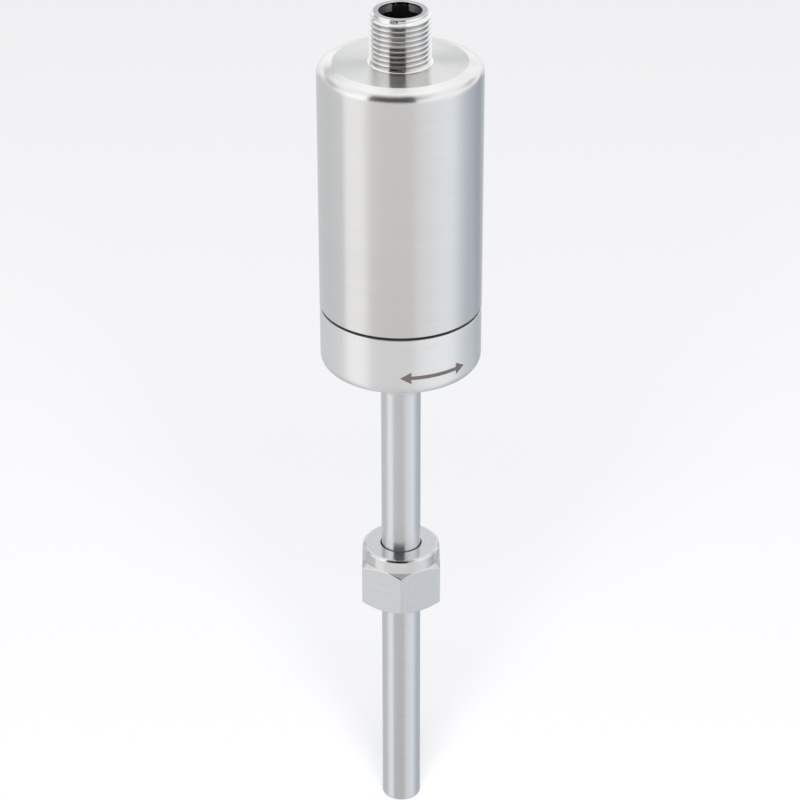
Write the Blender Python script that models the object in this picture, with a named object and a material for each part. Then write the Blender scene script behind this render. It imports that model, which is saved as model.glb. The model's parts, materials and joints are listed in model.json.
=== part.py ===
# An insertion flow sensor. A turned steel housing with a threaded plug connector on top stands on a
# base ring with a short neck. A long closed probe hangs from the base and carries, loose on it, the
# union nut and the two ferrules of the compression fitting that will hold it in a pipe.
# The origin lies on the probe's axis, level with the nut's lower face, where the fitting grips.
# Heights are along +Z, sizes are in metres, and the side with the flow arrow faces -Y.

import math

import bmesh
import bpy
from mathutils import Matrix, Vector

MM = 0.001

# Clearances between pieces
SEAT_GAP = 0.3 * MM
SNUG_GAP = 0.05 * MM
RUNNING_GAP = 0.15 * MM
SPIN_GAP = 0.25 * MM
PIN_GAP = 0.08 * MM
INSERT_GAP = 0.1 * MM

# Facets of the round pieces
COLUMNS = 48
SMALL_COLUMNS = 32
PIN_COLUMNS = 12
FILLET_STEPS = 5
WELD_DISTANCE = 0.001 * MM
SHARP_ANGLE = math.radians(30)

# Probe sleeve
PROBE_RADIUS = 4.0 * MM
PROBE_WALL = 0.6 * MM
PROBE_BELOW_GRIP = 50.7 * MM
TIP_THICKNESS = 1.0 * MM
TIP_ROUNDING = 0.5 * MM
SLEEVE_STANDS_IN_RECESS = 2.0 * MM

# Base ring, its neck and its spigot
BODY_RADIUS = 16.0 * MM
BASE_ABOVE_GRIP = 55.6 * MM
BASE_RING_HEIGHT = 12.3 * MM
BASE_FILLET = 2.0 * MM
EDGE_BREAK = 0.15 * MM
NECK_RADIUS = 5.7 * MM
NECK_LENGTH = 6.3 * MM
NECK_TAPER_LENGTH = 1.0 * MM
NECK_LIP = 0.15 * MM
SPIGOT_HEIGHT = 7.0 * MM
RECESS_RADIUS = 9.0 * MM
RECESS_DEPTH = 5.5 * MM
SPIGOT_CHAMFER = 0.5 * MM

# Housing cup
SEAM_HEIGHT = 0.6 * MM
SEAL_INSET = 0.25 * MM
HOUSING_HEIGHT = 50.7 * MM
HOUSING_WALL = 1.8 * MM
TOP_PLATE = 3.0 * MM
TOP_FILLET = 2.0 * MM
BORE_CHAMFER = 0.4 * MM

# Seal ring round the spigot
CORD_RADIUS = 0.75 * MM
CORD_SIDES = 8
SEAL_GROOVE_ABOVE_SHOULDER = 2.4 * MM

# Threaded connector shell
CONNECTOR_HEIGHT = 10.5 * MM
THREAD_MAJOR_RADIUS = 5.98 * MM
THREAD_DEPTH = 0.59 * MM
THREAD_PITCH = 1.0 * MM
CREST_SHARE = 0.16
FIRST_CREST = 0.43 * MM
THREAD_FOOT_STEP = 0.23 * MM
RIM_CHAMFER = 0.78 * MM
MOUTH_LIP = 0.6 * MM
MOUTH_OVERHANG = 0.05 * MM
SHELL_WALL = 0.64 * MM
SHANK_STEP = 0.29 * MM
SHANK_BELOW_LOCK_NUT = 0.5 * MM

# What locks the connector inside the housing
GASKET_RADIUS = 7.6 * MM
GASKET_THICKNESS = 0.8 * MM
LOCK_NUT_ACROSS_FLATS = 14.0 * MM
LOCK_NUT_HEIGHT = 2.5 * MM

# Contact carrier and its pins
SOCKET_WALL = 0.4 * MM
SOCKET_DEPTH = 9.0 * MM
CARRIER_BELOW_SHANK = 0.5 * MM
KEY_WIDTH = 0.9 * MM
KEY_HEIGHT = 0.6 * MM
PIN_RADIUS = 0.5 * MM
PIN_CIRCLE_RADIUS = 2.5 * MM
PIN_COUNT = 4
PIN_TIP_BELOW_RIM = 3.0 * MM
PIN_TIP_CHAMFER = 0.3 * MM
PIN_TAIL_BELOW_BOARD = 1.2 * MM

# Boards and what stands on them
PIN_BOARD_RADIUS = 6.5 * MM
PIN_BOARD_THICKNESS = 1.0 * MM
PIN_BOARD_BELOW_CARRIER = 1.0 * MM
BOARD_THICKNESS = 1.6 * MM
BOARD_ABOVE_HOLDER = 3.0 * MM
HOLDER_RING_WIDTH = 3.8 * MM
HOLDER_RING_HEIGHT = 3.0 * MM
POST_BELOW_BOARD_TOP = 9.0 * MM
POST_WIDTH = 5.0 * MM
POST_DEPTH = 2.8 * MM
SLOT_DEPTH = 1.2 * MM
HEADER_MARGIN = 0.5 * MM
HEADER_FROM_EDGE = 1.0 * MM
HEADER_DEPTH = 3.0 * MM
HEADER_HEIGHT = 4.0 * MM
CHIP_WIDTH = 4.4 * MM
CHIP_THICKNESS = 1.1 * MM
INDUCTOR_WIDTH = 4.6 * MM
INDUCTOR_THICKNESS = 2.8 * MM
CAPACITOR_RADIUS = 2.0 * MM
CAPACITOR_LENGTH = 5.4 * MM

# Wires
LEAD_ROOM = 6.4 * MM
LEAD_RADIUS = 0.3 * MM
LEAD_SPACING = 2.0 * MM
LEAD_POINTS = 9
PROBE_LEAD_SPACING = 1.3 * MM
PROBE_LEAD_OFFSET = 0.6 * MM
LEAD_ON_STRIP = 3.0 * MM

# Measuring elements in the probe tip
STRIP_WIDTH = 2.4 * MM
STRIP_THICKNESS = 0.6 * MM
STRIP_LENGTH = 27.0 * MM
ELEMENT_WIDTH = 2.0 * MM
ELEMENT_HEIGHT = 2.4 * MM
ELEMENT_THICKNESS = 0.6 * MM
TIP_ELEMENT_ABOVE_STRIP_END = 1.5 * MM
REFERENCE_ABOVE_TIP_ELEMENT = 14.0 * MM
BUSH_CLEARANCE = 0.4 * MM
BUSH_LENGTH = 3.0 * MM
GROMMET_LENGTH = 4.0 * MM

# Union nut and ferrules
NUT_ACROSS_FLATS = 16.0 * MM
NUT_HEIGHT = 12.6 * MM
NUT_SHOULDER_INSET = 0.1 * MM
NUT_SHOULDER_HEIGHT = 2.9 * MM
NUT_TOP_BREAK = 0.3 * MM
NUT_TOP_BREAK_WIDTH = 0.2 * MM
NUT_CHAMFER_ANGLE = math.radians(30)
NUT_BOTTOM_FACE_INSET = 0.15 * MM
NUT_TOP_WALL = 2.6 * MM
NUT_THREAD_RADIUS = 6.0 * MM
NUT_LEAD_CHAMFER = 0.5 * MM
FERRULE_ROOM = 0.5 * MM
BACK_FERRULE_HEIGHT = 1.8 * MM
FRONT_FERRULE_HEIGHT = 4.2 * MM
FRONT_FERRULE_BAND = 0.9 * MM
FRONT_FERRULE_NOSE = 0.35 * MM

# Levels and radii that follow from the sizes above
TIP_LEVEL = -PROBE_BELOW_GRIP
SHOULDER_LEVEL = BASE_ABOVE_GRIP + BASE_RING_HEIGHT
SPIGOT_LEVEL = SHOULDER_LEVEL + SPIGOT_HEIGHT
RECESS_LEVEL = SPIGOT_LEVEL - RECESS_DEPTH
HOUSING_BOTTOM = SHOULDER_LEVEL + SEAM_HEIGHT
TOP_LEVEL = HOUSING_BOTTOM + HOUSING_HEIGHT
PLATE_LEVEL = TOP_LEVEL - TOP_PLATE
RIM_LEVEL = TOP_LEVEL + CONNECTOR_HEIGHT
GASKET_TOP = PLATE_LEVEL - SNUG_GAP
LOCK_NUT_TOP = GASKET_TOP - GASKET_THICKNESS - SNUG_GAP
SHANK_LEVEL = LOCK_NUT_TOP - LOCK_NUT_HEIGHT - SHANK_BELOW_LOCK_NUT
CARRIER_LEVEL = SHANK_LEVEL - CARRIER_BELOW_SHANK
PIN_BOARD_TOP = CARRIER_LEVEL - PIN_BOARD_BELOW_CARRIER
PIN_BOARD_BOTTOM = PIN_BOARD_TOP - PIN_BOARD_THICKNESS
PIN_TAIL_LEVEL = PIN_BOARD_BOTTOM - PIN_TAIL_BELOW_BOARD
HOLDER_LEVEL = SPIGOT_LEVEL + SEAT_GAP
HOLDER_RING_TOP = HOLDER_LEVEL + HOLDER_RING_HEIGHT
BOARD_BOTTOM = HOLDER_RING_TOP + BOARD_ABOVE_HOLDER
BOARD_TOP = PIN_TAIL_LEVEL - LEAD_ROOM
BOARD_FACE = BOARD_THICKNESS / 2
STRIP_BOTTOM = TIP_LEVEL + TIP_THICKNESS + SEAT_GAP
STRIP_TOP = STRIP_BOTTOM + STRIP_LENGTH
SLEEVE_TOP = RECESS_LEVEL + SLEEVE_STANDS_IN_RECESS
SLEEVE_BORE = PROBE_RADIUS - PROBE_WALL
HOUSING_BORE = BODY_RADIUS - HOUSING_WALL
SPIGOT_RADIUS = HOUSING_BORE - SEAT_GAP
THREAD_MINOR_RADIUS = THREAD_MAJOR_RADIUS - THREAD_DEPTH
SHELL_BORE_RADIUS = THREAD_MINOR_RADIUS - SHELL_WALL
SHANK_RADIUS = THREAD_MINOR_RADIUS - SHANK_STEP
RIM_RADIUS = THREAD_MAJOR_RADIUS - RIM_CHAMFER
SOCKET_OUTER = SHELL_BORE_RADIUS - INSERT_GAP
SOCKET_INNER = SOCKET_OUTER - SOCKET_WALL
MOUTH_RADIUS = SOCKET_INNER - MOUTH_OVERHANG
HOLDER_RING_RADIUS = HOUSING_BORE - 2 * SEAT_GAP
POST_OUTER = math.sqrt(HOLDER_RING_RADIUS ** 2 - (POST_WIDTH / 2) ** 2)
POST_INNER = POST_OUTER - POST_DEPTH
SLOT_END = POST_INNER + SLOT_DEPTH
BOARD_HALF_WIDTH = SLOT_END - INSERT_GAP
BUSH_BORE = STRIP_WIDTH / 2 + BUSH_CLEARANCE


# Scene and materials

def clear_scene():
    """Remove whatever the file opened with."""
    for thing in list(bpy.data.objects):
        bpy.data.objects.remove(thing, do_unlink=True)


def finish_of(name, colour, roughness, metallic):
    """One Principled material with a plain colour, roughness and metallic value."""
    material = bpy.data.materials.new(name)
    material.use_nodes = True
    shader = material.node_tree.nodes["Principled BSDF"]
    shader.inputs["Base Color"].default_value = (*colour, 1.0)
    shader.inputs["Roughness"].default_value = roughness
    shader.inputs["Metallic"].default_value = metallic
    return material


clear_scene()
TURNED_STEEL = finish_of("turned_steel", (0.72, 0.71, 0.70), 0.28, 1.0)
NUT_STEEL = finish_of("nut_steel", (0.74, 0.74, 0.74), 0.32, 1.0)
BLACK_PLASTIC = finish_of("black_plastic", (0.015, 0.015, 0.016), 0.35, 0.0)
HOLDER_PLASTIC = finish_of("holder_plastic", (0.20, 0.21, 0.22), 0.5, 0.0)
BLACK_RUBBER = finish_of("black_rubber", (0.02, 0.02, 0.02), 0.7, 0.0)
GOLD_PLATE = finish_of("gold_plate", (0.83, 0.62, 0.25), 0.25, 1.0)
BOARD_GREEN = finish_of("board_green", (0.03, 0.16, 0.07), 0.45, 0.0)
CHIP_BLACK = finish_of("chip_black", (0.03, 0.03, 0.032), 0.5, 0.0)
CAN_SILVER = finish_of("can_silver", (0.70, 0.70, 0.72), 0.35, 1.0)
ELEMENT_WHITE = finish_of("element_white", (0.80, 0.79, 0.75), 0.45, 0.0)
LEAD_JACKET = finish_of("lead_jacket", (0.55, 0.08, 0.05), 0.5, 0.0)


# Shared ways of making a solid

def finish_mesh(name, work, material):
    """Turn a bmesh into a named object with one material, smooth but for its sharp edges."""
    bmesh.ops.recalc_face_normals(work, faces=work.faces)
    mesh = bpy.data.meshes.new(name)
    work.to_mesh(mesh)
    work.free()
    mesh.materials.append(material)
    mesh.shade_smooth()
    mesh.set_sharp_from_angle(angle=SHARP_ANGLE)
    piece = bpy.data.objects.new(name, mesh)
    bpy.context.scene.collection.objects.link(piece)
    return piece


def turned(name, section, material, columns=COLUMNS):
    """Spin a section of (radius, height) points about Z. One that starts and ends on the axis stays open."""
    work = bmesh.new()
    points = [work.verts.new((radius, 0.0, height)) for radius, height in section]
    on_axis = section[0][0] == 0 and section[-1][0] == 0
    pairs = list(zip(points, points[1:]))
    if not on_axis:
        pairs.append((points[-1], points[0]))
    edges = [work.edges.new(pair) for pair in pairs]
    bmesh.ops.spin(work, geom=points + edges, cent=(0, 0, 0), axis=(0, 0, 1),
                   angle=math.tau, steps=columns)
    bmesh.ops.remove_doubles(work, verts=work.verts, dist=WELD_DISTANCE)
    return finish_mesh(name, work, material)


def block(name, low, high, material):
    """A box between two opposite corners."""
    work = bmesh.new()
    bmesh.ops.create_cube(work, size=1.0)
    low, high = Vector(low), Vector(high)
    bmesh.ops.scale(work, vec=high - low, verts=work.verts)
    bmesh.ops.translate(work, vec=(low + high) / 2, verts=work.verts)
    return finish_mesh(name, work, material)


def hexagon(name, across_flats, bottom, top, material):
    """A hexagonal bar with a corner towards -Y and flats towards -X and +X."""
    work = bmesh.new()
    corner = across_flats / math.sqrt(3)
    bmesh.ops.create_cone(work, cap_ends=True, segments=6, radius1=corner, radius2=corner,
                          depth=top - bottom, matrix=Matrix.Translation((0, 0, (bottom + top) / 2)))
    return finish_mesh(name, work, material)


def combine(piece, tool, operation):
    """Cut the tool from the piece, keep only what they share, or weld it on."""
    tool.hide_render = True
    tool.display_type = "WIRE"
    modifier = piece.modifiers.new(tool.name, "BOOLEAN")
    modifier.operation = operation
    modifier.solver = "EXACT"
    modifier.object = tool
    return piece


def arc(centre, radius, start, end, steps=FILLET_STEPS):
    """Points on a circle in the section plane, from one angle in degrees to another."""
    angles = [math.radians(start + (end - start) * step / steps) for step in range(steps + 1)]
    return [(centre[0] + radius * math.cos(a), centre[1] + radius * math.sin(a)) for a in angles]


def ring_section(inner, outer, bottom, top):
    """A plain rectangular section."""
    return [(inner, bottom), (outer, bottom), (outer, top), (inner, top)]


# Base, housing and their seals

def make_base_flange():
    """Base ring with a rounded lower edge, the neck below it and the spigot in the housing's bore."""
    bore = PROBE_RADIUS + SEAT_GAP
    neck_bottom = BASE_ABOVE_GRIP - NECK_LENGTH
    fillet_centre = (BODY_RADIUS - BASE_FILLET, BASE_ABOVE_GRIP + BASE_FILLET)
    groove_middle = SHOULDER_LEVEL + SEAL_GROOVE_ABOVE_SHOULDER
    groove_half = CORD_RADIUS + SNUG_GAP
    groove_floor = HOUSING_BORE - 2 * CORD_RADIUS - 2 * SNUG_GAP
    section = [(bore, neck_bottom), (bore + NECK_LIP, neck_bottom),
               (NECK_RADIUS, neck_bottom + NECK_TAPER_LENGTH), (NECK_RADIUS, BASE_ABOVE_GRIP)]
    section += arc(fillet_centre, BASE_FILLET, -90, 0)
    section += [(BODY_RADIUS, SHOULDER_LEVEL - EDGE_BREAK), (BODY_RADIUS - EDGE_BREAK, SHOULDER_LEVEL),
                (SPIGOT_RADIUS, SHOULDER_LEVEL),
                (SPIGOT_RADIUS, groove_middle - groove_half), (groove_floor, groove_middle - groove_half),
                (groove_floor, groove_middle + groove_half), (SPIGOT_RADIUS, groove_middle + groove_half),
                (SPIGOT_RADIUS, SPIGOT_LEVEL - SPIGOT_CHAMFER),
                (SPIGOT_RADIUS - SPIGOT_CHAMFER, SPIGOT_LEVEL),
                (RECESS_RADIUS, SPIGOT_LEVEL), (RECESS_RADIUS, RECESS_LEVEL), (bore, RECESS_LEVEL)]
    return turned("base_flange", section, TURNED_STEEL)


def make_base_o_ring():
    """The cord ring that seals the spigot in the housing's bore."""
    middle = HOUSING_BORE - CORD_RADIUS - SNUG_GAP
    centre = (middle, SHOULDER_LEVEL + SEAL_GROOVE_ABOVE_SHOULDER)
    section = arc(centre, CORD_RADIUS, 0, 360, CORD_SIDES)[:-1]
    return turned("base_o_ring", section, BLACK_RUBBER)


def make_seam_seal():
    """The flat black ring that shows as a dark line between base and housing."""
    section = ring_section(SPIGOT_RADIUS + SNUG_GAP, BODY_RADIUS - SEAL_INSET,
                           SHOULDER_LEVEL + SNUG_GAP, HOUSING_BOTTOM - SNUG_GAP)
    return turned("seam_seal", section, BLACK_RUBBER)


def make_housing():
    """The housing is one deep cup, open below, with a hole for the connector in its top plate."""
    hole = SHANK_RADIUS + SEAT_GAP
    section = [(hole, PLATE_LEVEL), (HOUSING_BORE, PLATE_LEVEL),
               (HOUSING_BORE, HOUSING_BOTTOM + BORE_CHAMFER), (HOUSING_BORE + BORE_CHAMFER, HOUSING_BOTTOM),
               (BODY_RADIUS - EDGE_BREAK, HOUSING_BOTTOM), (BODY_RADIUS, HOUSING_BOTTOM + EDGE_BREAK)]
    section += arc((BODY_RADIUS - TOP_FILLET, TOP_LEVEL - TOP_FILLET), TOP_FILLET, 0, 90)
    section += [(hole, TOP_LEVEL)]
    return turned("housing", section, TURNED_STEEL)


# Connector

def threaded_surface(columns):
    """Vertices and faces of the shell's outside, foot to rim.

    Each line of the grid climbs one pitch per turn, so the line that leaves the last column goes on
    three lines higher in the first one. Lines past the foot or the rim are pressed onto it there.
    """
    foot = TOP_LEVEL + SNUG_GAP
    steps = [(-CREST_SHARE / 2, THREAD_MAJOR_RADIUS), (CREST_SHARE / 2, THREAD_MAJOR_RADIUS),
             (0.5, THREAD_MINOR_RADIUS)]
    turns = math.ceil(CONNECTOR_HEIGHT / THREAD_PITCH) + 3
    lines = len(steps) * turns
    points = []
    for line in range(lines):
        share, radius = steps[line % len(steps)]
        start = TOP_LEVEL + FIRST_CREST + THREAD_PITCH * (line // len(steps) + share - 2)
        for column in range(columns):
            height = start + THREAD_PITCH * column / columns
            reach = min(radius, RIM_RADIUS + max(0.0, RIM_LEVEL - height))
            if height <= foot + WELD_DISTANCE:
                height, reach = foot, THREAD_MAJOR_RADIUS - THREAD_FOOT_STEP
            if height >= RIM_LEVEL - WELD_DISTANCE:
                height, reach = RIM_LEVEL, RIM_RADIUS
            angle = math.tau * column / columns - math.pi / 2
            points.append((reach * math.cos(angle), reach * math.sin(angle), height))
    faces = []
    for line in range(lines - 1):
        for column in range(columns):
            climb = len(steps) if column == columns - 1 else 0
            beside = (column + 1) % columns
            low = line + climb
            high = low + 1
            if high < lines:
                faces.append((line * columns + column, low * columns + beside,
                              high * columns + beside, (line + 1) * columns + column))
    return points, faces, lines


def make_connector_shell():
    """The threaded sleeve: helical outside, rim, mouth lip, bore for the insert, and a plain shank."""
    columns = SMALL_COLUMNS
    points, faces, lines = threaded_surface(columns)
    inside = [(MOUTH_RADIUS, RIM_LEVEL), (MOUTH_RADIUS, RIM_LEVEL - MOUTH_LIP),
              (SHELL_BORE_RADIUS, RIM_LEVEL - MOUTH_LIP), (SHELL_BORE_RADIUS, SHANK_LEVEL),
              (SHANK_RADIUS, SHANK_LEVEL), (SHANK_RADIUS, TOP_LEVEL + SNUG_GAP)]
    first_ring = (lines - 1) * columns
    rings = [first_ring]
    for radius, height in inside:
        rings.append(len(points))
        for column in range(columns):
            angle = math.tau * column / columns - math.pi / 2
            points.append((radius * math.cos(angle), radius * math.sin(angle), height))
    rings.append(0)
    for low, high in zip(rings, rings[1:]):
        for column in range(columns):
            beside = (column + 1) % columns
            faces.append((low + column, low + beside, high + beside, high + column))
    work = bmesh.new()
    vertices = [work.verts.new(point) for point in points]
    for face in faces:
        work.faces.new([vertices[index] for index in face])
    bmesh.ops.remove_doubles(work, verts=work.verts, dist=WELD_DISTANCE)
    return finish_mesh("connector_shell", work, TURNED_STEEL)


def make_connector_gasket():
    """The rubber washer between the housing's top plate and the lock nut."""
    inner = SHANK_RADIUS + INSERT_GAP
    section = ring_section(inner, GASKET_RADIUS, GASKET_TOP - GASKET_THICKNESS, GASKET_TOP)
    return turned("connector_gasket", section, BLACK_RUBBER, SMALL_COLUMNS)


def make_lock_nut():
    """The flat hexagonal nut that pulls the connector down onto the housing from inside."""
    bottom = LOCK_NUT_TOP - LOCK_NUT_HEIGHT
    nut = hexagon("connector_lock_nut", LOCK_NUT_ACROSS_FLATS, bottom, LOCK_NUT_TOP, NUT_STEEL)
    hole = turned("lock_nut_hole", [(0, LOCK_NUT_TOP + MM), (SHANK_RADIUS + INSERT_GAP, LOCK_NUT_TOP + MM),
                                    (SHANK_RADIUS + INSERT_GAP, bottom - MM), (0, bottom - MM)],
                  NUT_STEEL, SMALL_COLUMNS)
    return combine(nut, hole, "DIFFERENCE")


def pin_places():
    """The centres of the contact pins, on a circle and midway between the axes."""
    angles = [math.radians(45 + 360 * index / PIN_COUNT) for index in range(PIN_COUNT)]
    return [(PIN_CIRCLE_RADIUS * math.cos(a), PIN_CIRCLE_RADIUS * math.sin(a)) for a in angles]


def rods(name, places, radius, bottom, top, material):
    """Upright round rods in one object, one at each place."""
    work = bmesh.new()
    for x, y in places:
        bmesh.ops.create_cone(work, cap_ends=True, segments=PIN_COLUMNS, radius1=radius, radius2=radius,
                              depth=top - bottom, matrix=Matrix.Translation((x, y, (bottom + top) / 2)))
    return finish_mesh(name, work, material)


def make_contact_carrier():
    """The black insert: a socket with a key rib and a thick floor that holds the pins."""
    top = RIM_LEVEL - MOUTH_LIP - SNUG_GAP
    floor = RIM_LEVEL - SOCKET_DEPTH
    section = [(0, CARRIER_LEVEL), (SOCKET_OUTER, CARRIER_LEVEL), (SOCKET_OUTER, top),
               (SOCKET_INNER, top), (SOCKET_INNER, floor), (0, floor)]
    carrier = turned("contact_carrier", section, BLACK_PLASTIC, SMALL_COLUMNS)
    root = SOCKET_INNER + SOCKET_WALL / 2
    key = block("key_rib", (-KEY_WIDTH / 2, -root, floor - MM),
                (KEY_WIDTH / 2, KEY_HEIGHT - SOCKET_INNER, top - SNUG_GAP), BLACK_PLASTIC)
    combine(carrier, key, "UNION")
    holes = rods("carrier_holes", pin_places(), PIN_RADIUS + PIN_GAP,
                 CARRIER_LEVEL - MM, floor + MM, BLACK_PLASTIC)
    return combine(carrier, holes, "DIFFERENCE")


def make_contact_pins():
    """Gold-plated pins that stand in the socket and are soldered to the pin board below."""
    top = RIM_LEVEL - PIN_TIP_BELOW_RIM
    section = [(0, PIN_TAIL_LEVEL), (PIN_RADIUS, PIN_TAIL_LEVEL), (PIN_RADIUS, top - PIN_TIP_CHAMFER),
               (PIN_RADIUS - PIN_TIP_CHAMFER, top), (0, top)]
    for index, (x, y) in enumerate(pin_places()):
        pin = turned(f"contact_pin_{index + 1}", section, GOLD_PLATE, PIN_COLUMNS)
        pin.location = (x, y, 0)


def make_pin_board():
    """The small round board behind the insert."""
    disc = [(0, PIN_BOARD_BOTTOM), (PIN_BOARD_RADIUS, PIN_BOARD_BOTTOM), (PIN_BOARD_RADIUS, PIN_BOARD_TOP),
            (0, PIN_BOARD_TOP)]
    board = turned("pin_board", disc, BOARD_GREEN, SMALL_COLUMNS)
    holes = rods("pin_board_holes", pin_places(), PIN_RADIUS + INSERT_GAP,
                 PIN_BOARD_BOTTOM - MM, PIN_BOARD_TOP + MM, BOARD_GREEN)
    return combine(board, holes, "DIFFERENCE")


# Electronics

def make_board_holder():
    """A ring on the spigot with two posts, each with a slot for one edge of the main board."""
    section = ring_section(HOLDER_RING_RADIUS - HOLDER_RING_WIDTH, HOLDER_RING_RADIUS,
                           HOLDER_LEVEL, HOLDER_RING_TOP)
    ring = turned("board_holder", section, HOLDER_PLASTIC)
    slot_half = BOARD_FACE + INSERT_GAP
    post_foot = HOLDER_RING_TOP - HOLDER_RING_HEIGHT / 2
    for side in (-1, 1):
        ends = sorted((side * POST_INNER, side * POST_OUTER))
        post = block(f"post_{side}", (ends[0], -POST_WIDTH / 2, post_foot),
                     (ends[1], POST_WIDTH / 2, BOARD_TOP - POST_BELOW_BOARD_TOP), HOLDER_PLASTIC)
        combine(ring, post, "UNION")
    slot = block("board_slot", (-SLOT_END, -slot_half, BOARD_BOTTOM - INSERT_GAP),
                 (SLOT_END, slot_half, BOARD_TOP + MM), HOLDER_PLASTIC)
    return combine(ring, slot, "DIFFERENCE")


def on_board(name, side, middle, size, material):
    """A part soldered flat on the main board, in front of it (-1) or behind it (1)."""
    x, z = middle
    width, depth, height = size
    near = side * (BOARD_FACE + SNUG_GAP)
    ends = sorted((near, near + side * depth))
    return block(name, (x - width / 2, ends[0], z - height / 2), (x + width / 2, ends[1], z + height / 2),
                 material)


def header_levels():
    """The middle heights of the upper and the lower lead header."""
    inset = HEADER_FROM_EDGE + HEADER_HEIGHT / 2
    return BOARD_TOP - inset, BOARD_BOTTOM + inset


def make_boards():
    """The upright main board: headers for the leads in front, chip, coil and capacitors behind."""
    middle = (BOARD_BOTTOM + BOARD_TOP) / 2
    clear = BOARD_HALF_WIDTH - SLOT_DEPTH - INSERT_GAP
    upper, lower = header_levels()
    block("main_board", (-BOARD_HALF_WIDTH, -BOARD_FACE, BOARD_BOTTOM),
          (BOARD_HALF_WIDTH, BOARD_FACE, BOARD_TOP), BOARD_GREEN)
    header = (PIN_COUNT * LEAD_SPACING + 2 * HEADER_MARGIN, HEADER_DEPTH, HEADER_HEIGHT)
    on_board("supply_header", -1, (0, upper), header, HOLDER_PLASTIC)
    on_board("probe_header", -1, (0, lower), header, HOLDER_PLASTIC)
    on_board("controller_chip", 1, (0, middle), (CHIP_WIDTH, CHIP_THICKNESS, CHIP_WIDTH), CHIP_BLACK)
    coil = (INDUCTOR_WIDTH, INDUCTOR_THICKNESS, INDUCTOR_WIDTH)
    on_board("inductor", 1, (INDUCTOR_WIDTH / 2 - clear, middle), coil, CHIP_BLACK)
    near = BOARD_FACE + SNUG_GAP
    far = near + CAPACITOR_LENGTH
    section = [(0, near), (CAPACITOR_RADIUS, near), (CAPACITOR_RADIUS, far), (0, far)]
    quarter = (BOARD_TOP - BOARD_BOTTOM) / 4
    for index, level in enumerate((middle - quarter, middle + quarter)):
        can = turned(f"capacitor_{index + 1}", section, CAN_SILVER, 2 * PIN_COLUMNS)
        place = Matrix.Translation((clear - CAPACITOR_RADIUS, 0, level))
        can.matrix_world = place @ Matrix.Rotation(-math.pi / 2, 4, "X")


def lead(name, points):
    """A round wire along a line of points, with filled ends."""
    curve = bpy.data.curves.new(name, "CURVE")
    curve.dimensions = "3D"
    curve.bevel_depth = LEAD_RADIUS
    curve.bevel_resolution = 2
    curve.use_fill_caps = True
    spline = curve.splines.new("POLY")
    spline.points.add(len(points) - 1)
    for target, point in zip(spline.points, points):
        target.co = (*point, 1.0)
    curve.materials.append(LEAD_JACKET)
    wire = bpy.data.objects.new(name, curve)
    bpy.context.scene.collection.objects.link(wire)
    return wire


def eased(start, end, share):
    """A point between two others, upright at both ends: sideways it follows half a cosine wave."""
    ease = (1 - math.cos(math.pi * share)) / 2
    return (start[0] + (end[0] - start[0]) * ease, start[1] + (end[1] - start[1]) * ease,
            start[2] + (end[2] - start[2]) * share)


def make_supply_leads():
    """Four short wires from the pins' tails down to the upper header."""
    upper, _ = header_levels()
    header_top = upper + HEADER_HEIGHT / 2 + SEAT_GAP
    row = -(BOARD_FACE + SNUG_GAP + HEADER_DEPTH / 2)
    for index, (x, y) in enumerate(pin_places()):
        slot = (index - 1) % PIN_COUNT - (PIN_COUNT - 1) / 2
        start = (x, y, PIN_TAIL_LEVEL - SNUG_GAP)
        end = (slot * LEAD_SPACING, row, header_top)
        points = [eased(start, end, step / (LEAD_POINTS - 1)) for step in range(LEAD_POINTS)]
        lead(f"supply_lead_{index + 1}", points)


def make_probe_leads():
    """Four wires that run straight up the probe from the strip and ease over to the lower header."""
    _, lower = header_levels()
    header_bottom = lower - HEADER_HEIGHT / 2 - SEAT_GAP
    row = -(BOARD_FACE + SNUG_GAP + HEADER_DEPTH / 2)
    beside = STRIP_THICKNESS / 2 + SNUG_GAP + LEAD_RADIUS
    starts = [(-PROBE_LEAD_OFFSET, beside), (-PROBE_LEAD_OFFSET, -beside),
              (PROBE_LEAD_OFFSET, -beside), (PROBE_LEAD_OFFSET, beside)]
    for index, (x, y) in enumerate(starts):
        foot = (x, y, STRIP_TOP - LEAD_ON_STRIP)
        bend = (x, y, SPIGOT_LEVEL)
        end = ((index - 1.5) * PROBE_LEAD_SPACING, row, header_bottom)
        points = [foot] + [eased(bend, end, step / (LEAD_POINTS - 1)) for step in range(LEAD_POINTS)]
        lead(f"probe_lead_{index + 1}", points)


# Probe

def make_probe_sleeve():
    """The probe's tube, closed at its lower end with a small rounding."""
    centre = (PROBE_RADIUS - TIP_ROUNDING, TIP_LEVEL + TIP_ROUNDING)
    section = [(0, TIP_LEVEL)] + arc(centre, TIP_ROUNDING, -90, 0, 3)
    section += [(PROBE_RADIUS, SLEEVE_TOP), (SLEEVE_BORE, SLEEVE_TOP),
                (SLEEVE_BORE, TIP_LEVEL + TIP_THICKNESS), (0, TIP_LEVEL + TIP_THICKNESS)]
    return turned("probe_sleeve", section, TURNED_STEEL)


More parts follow.
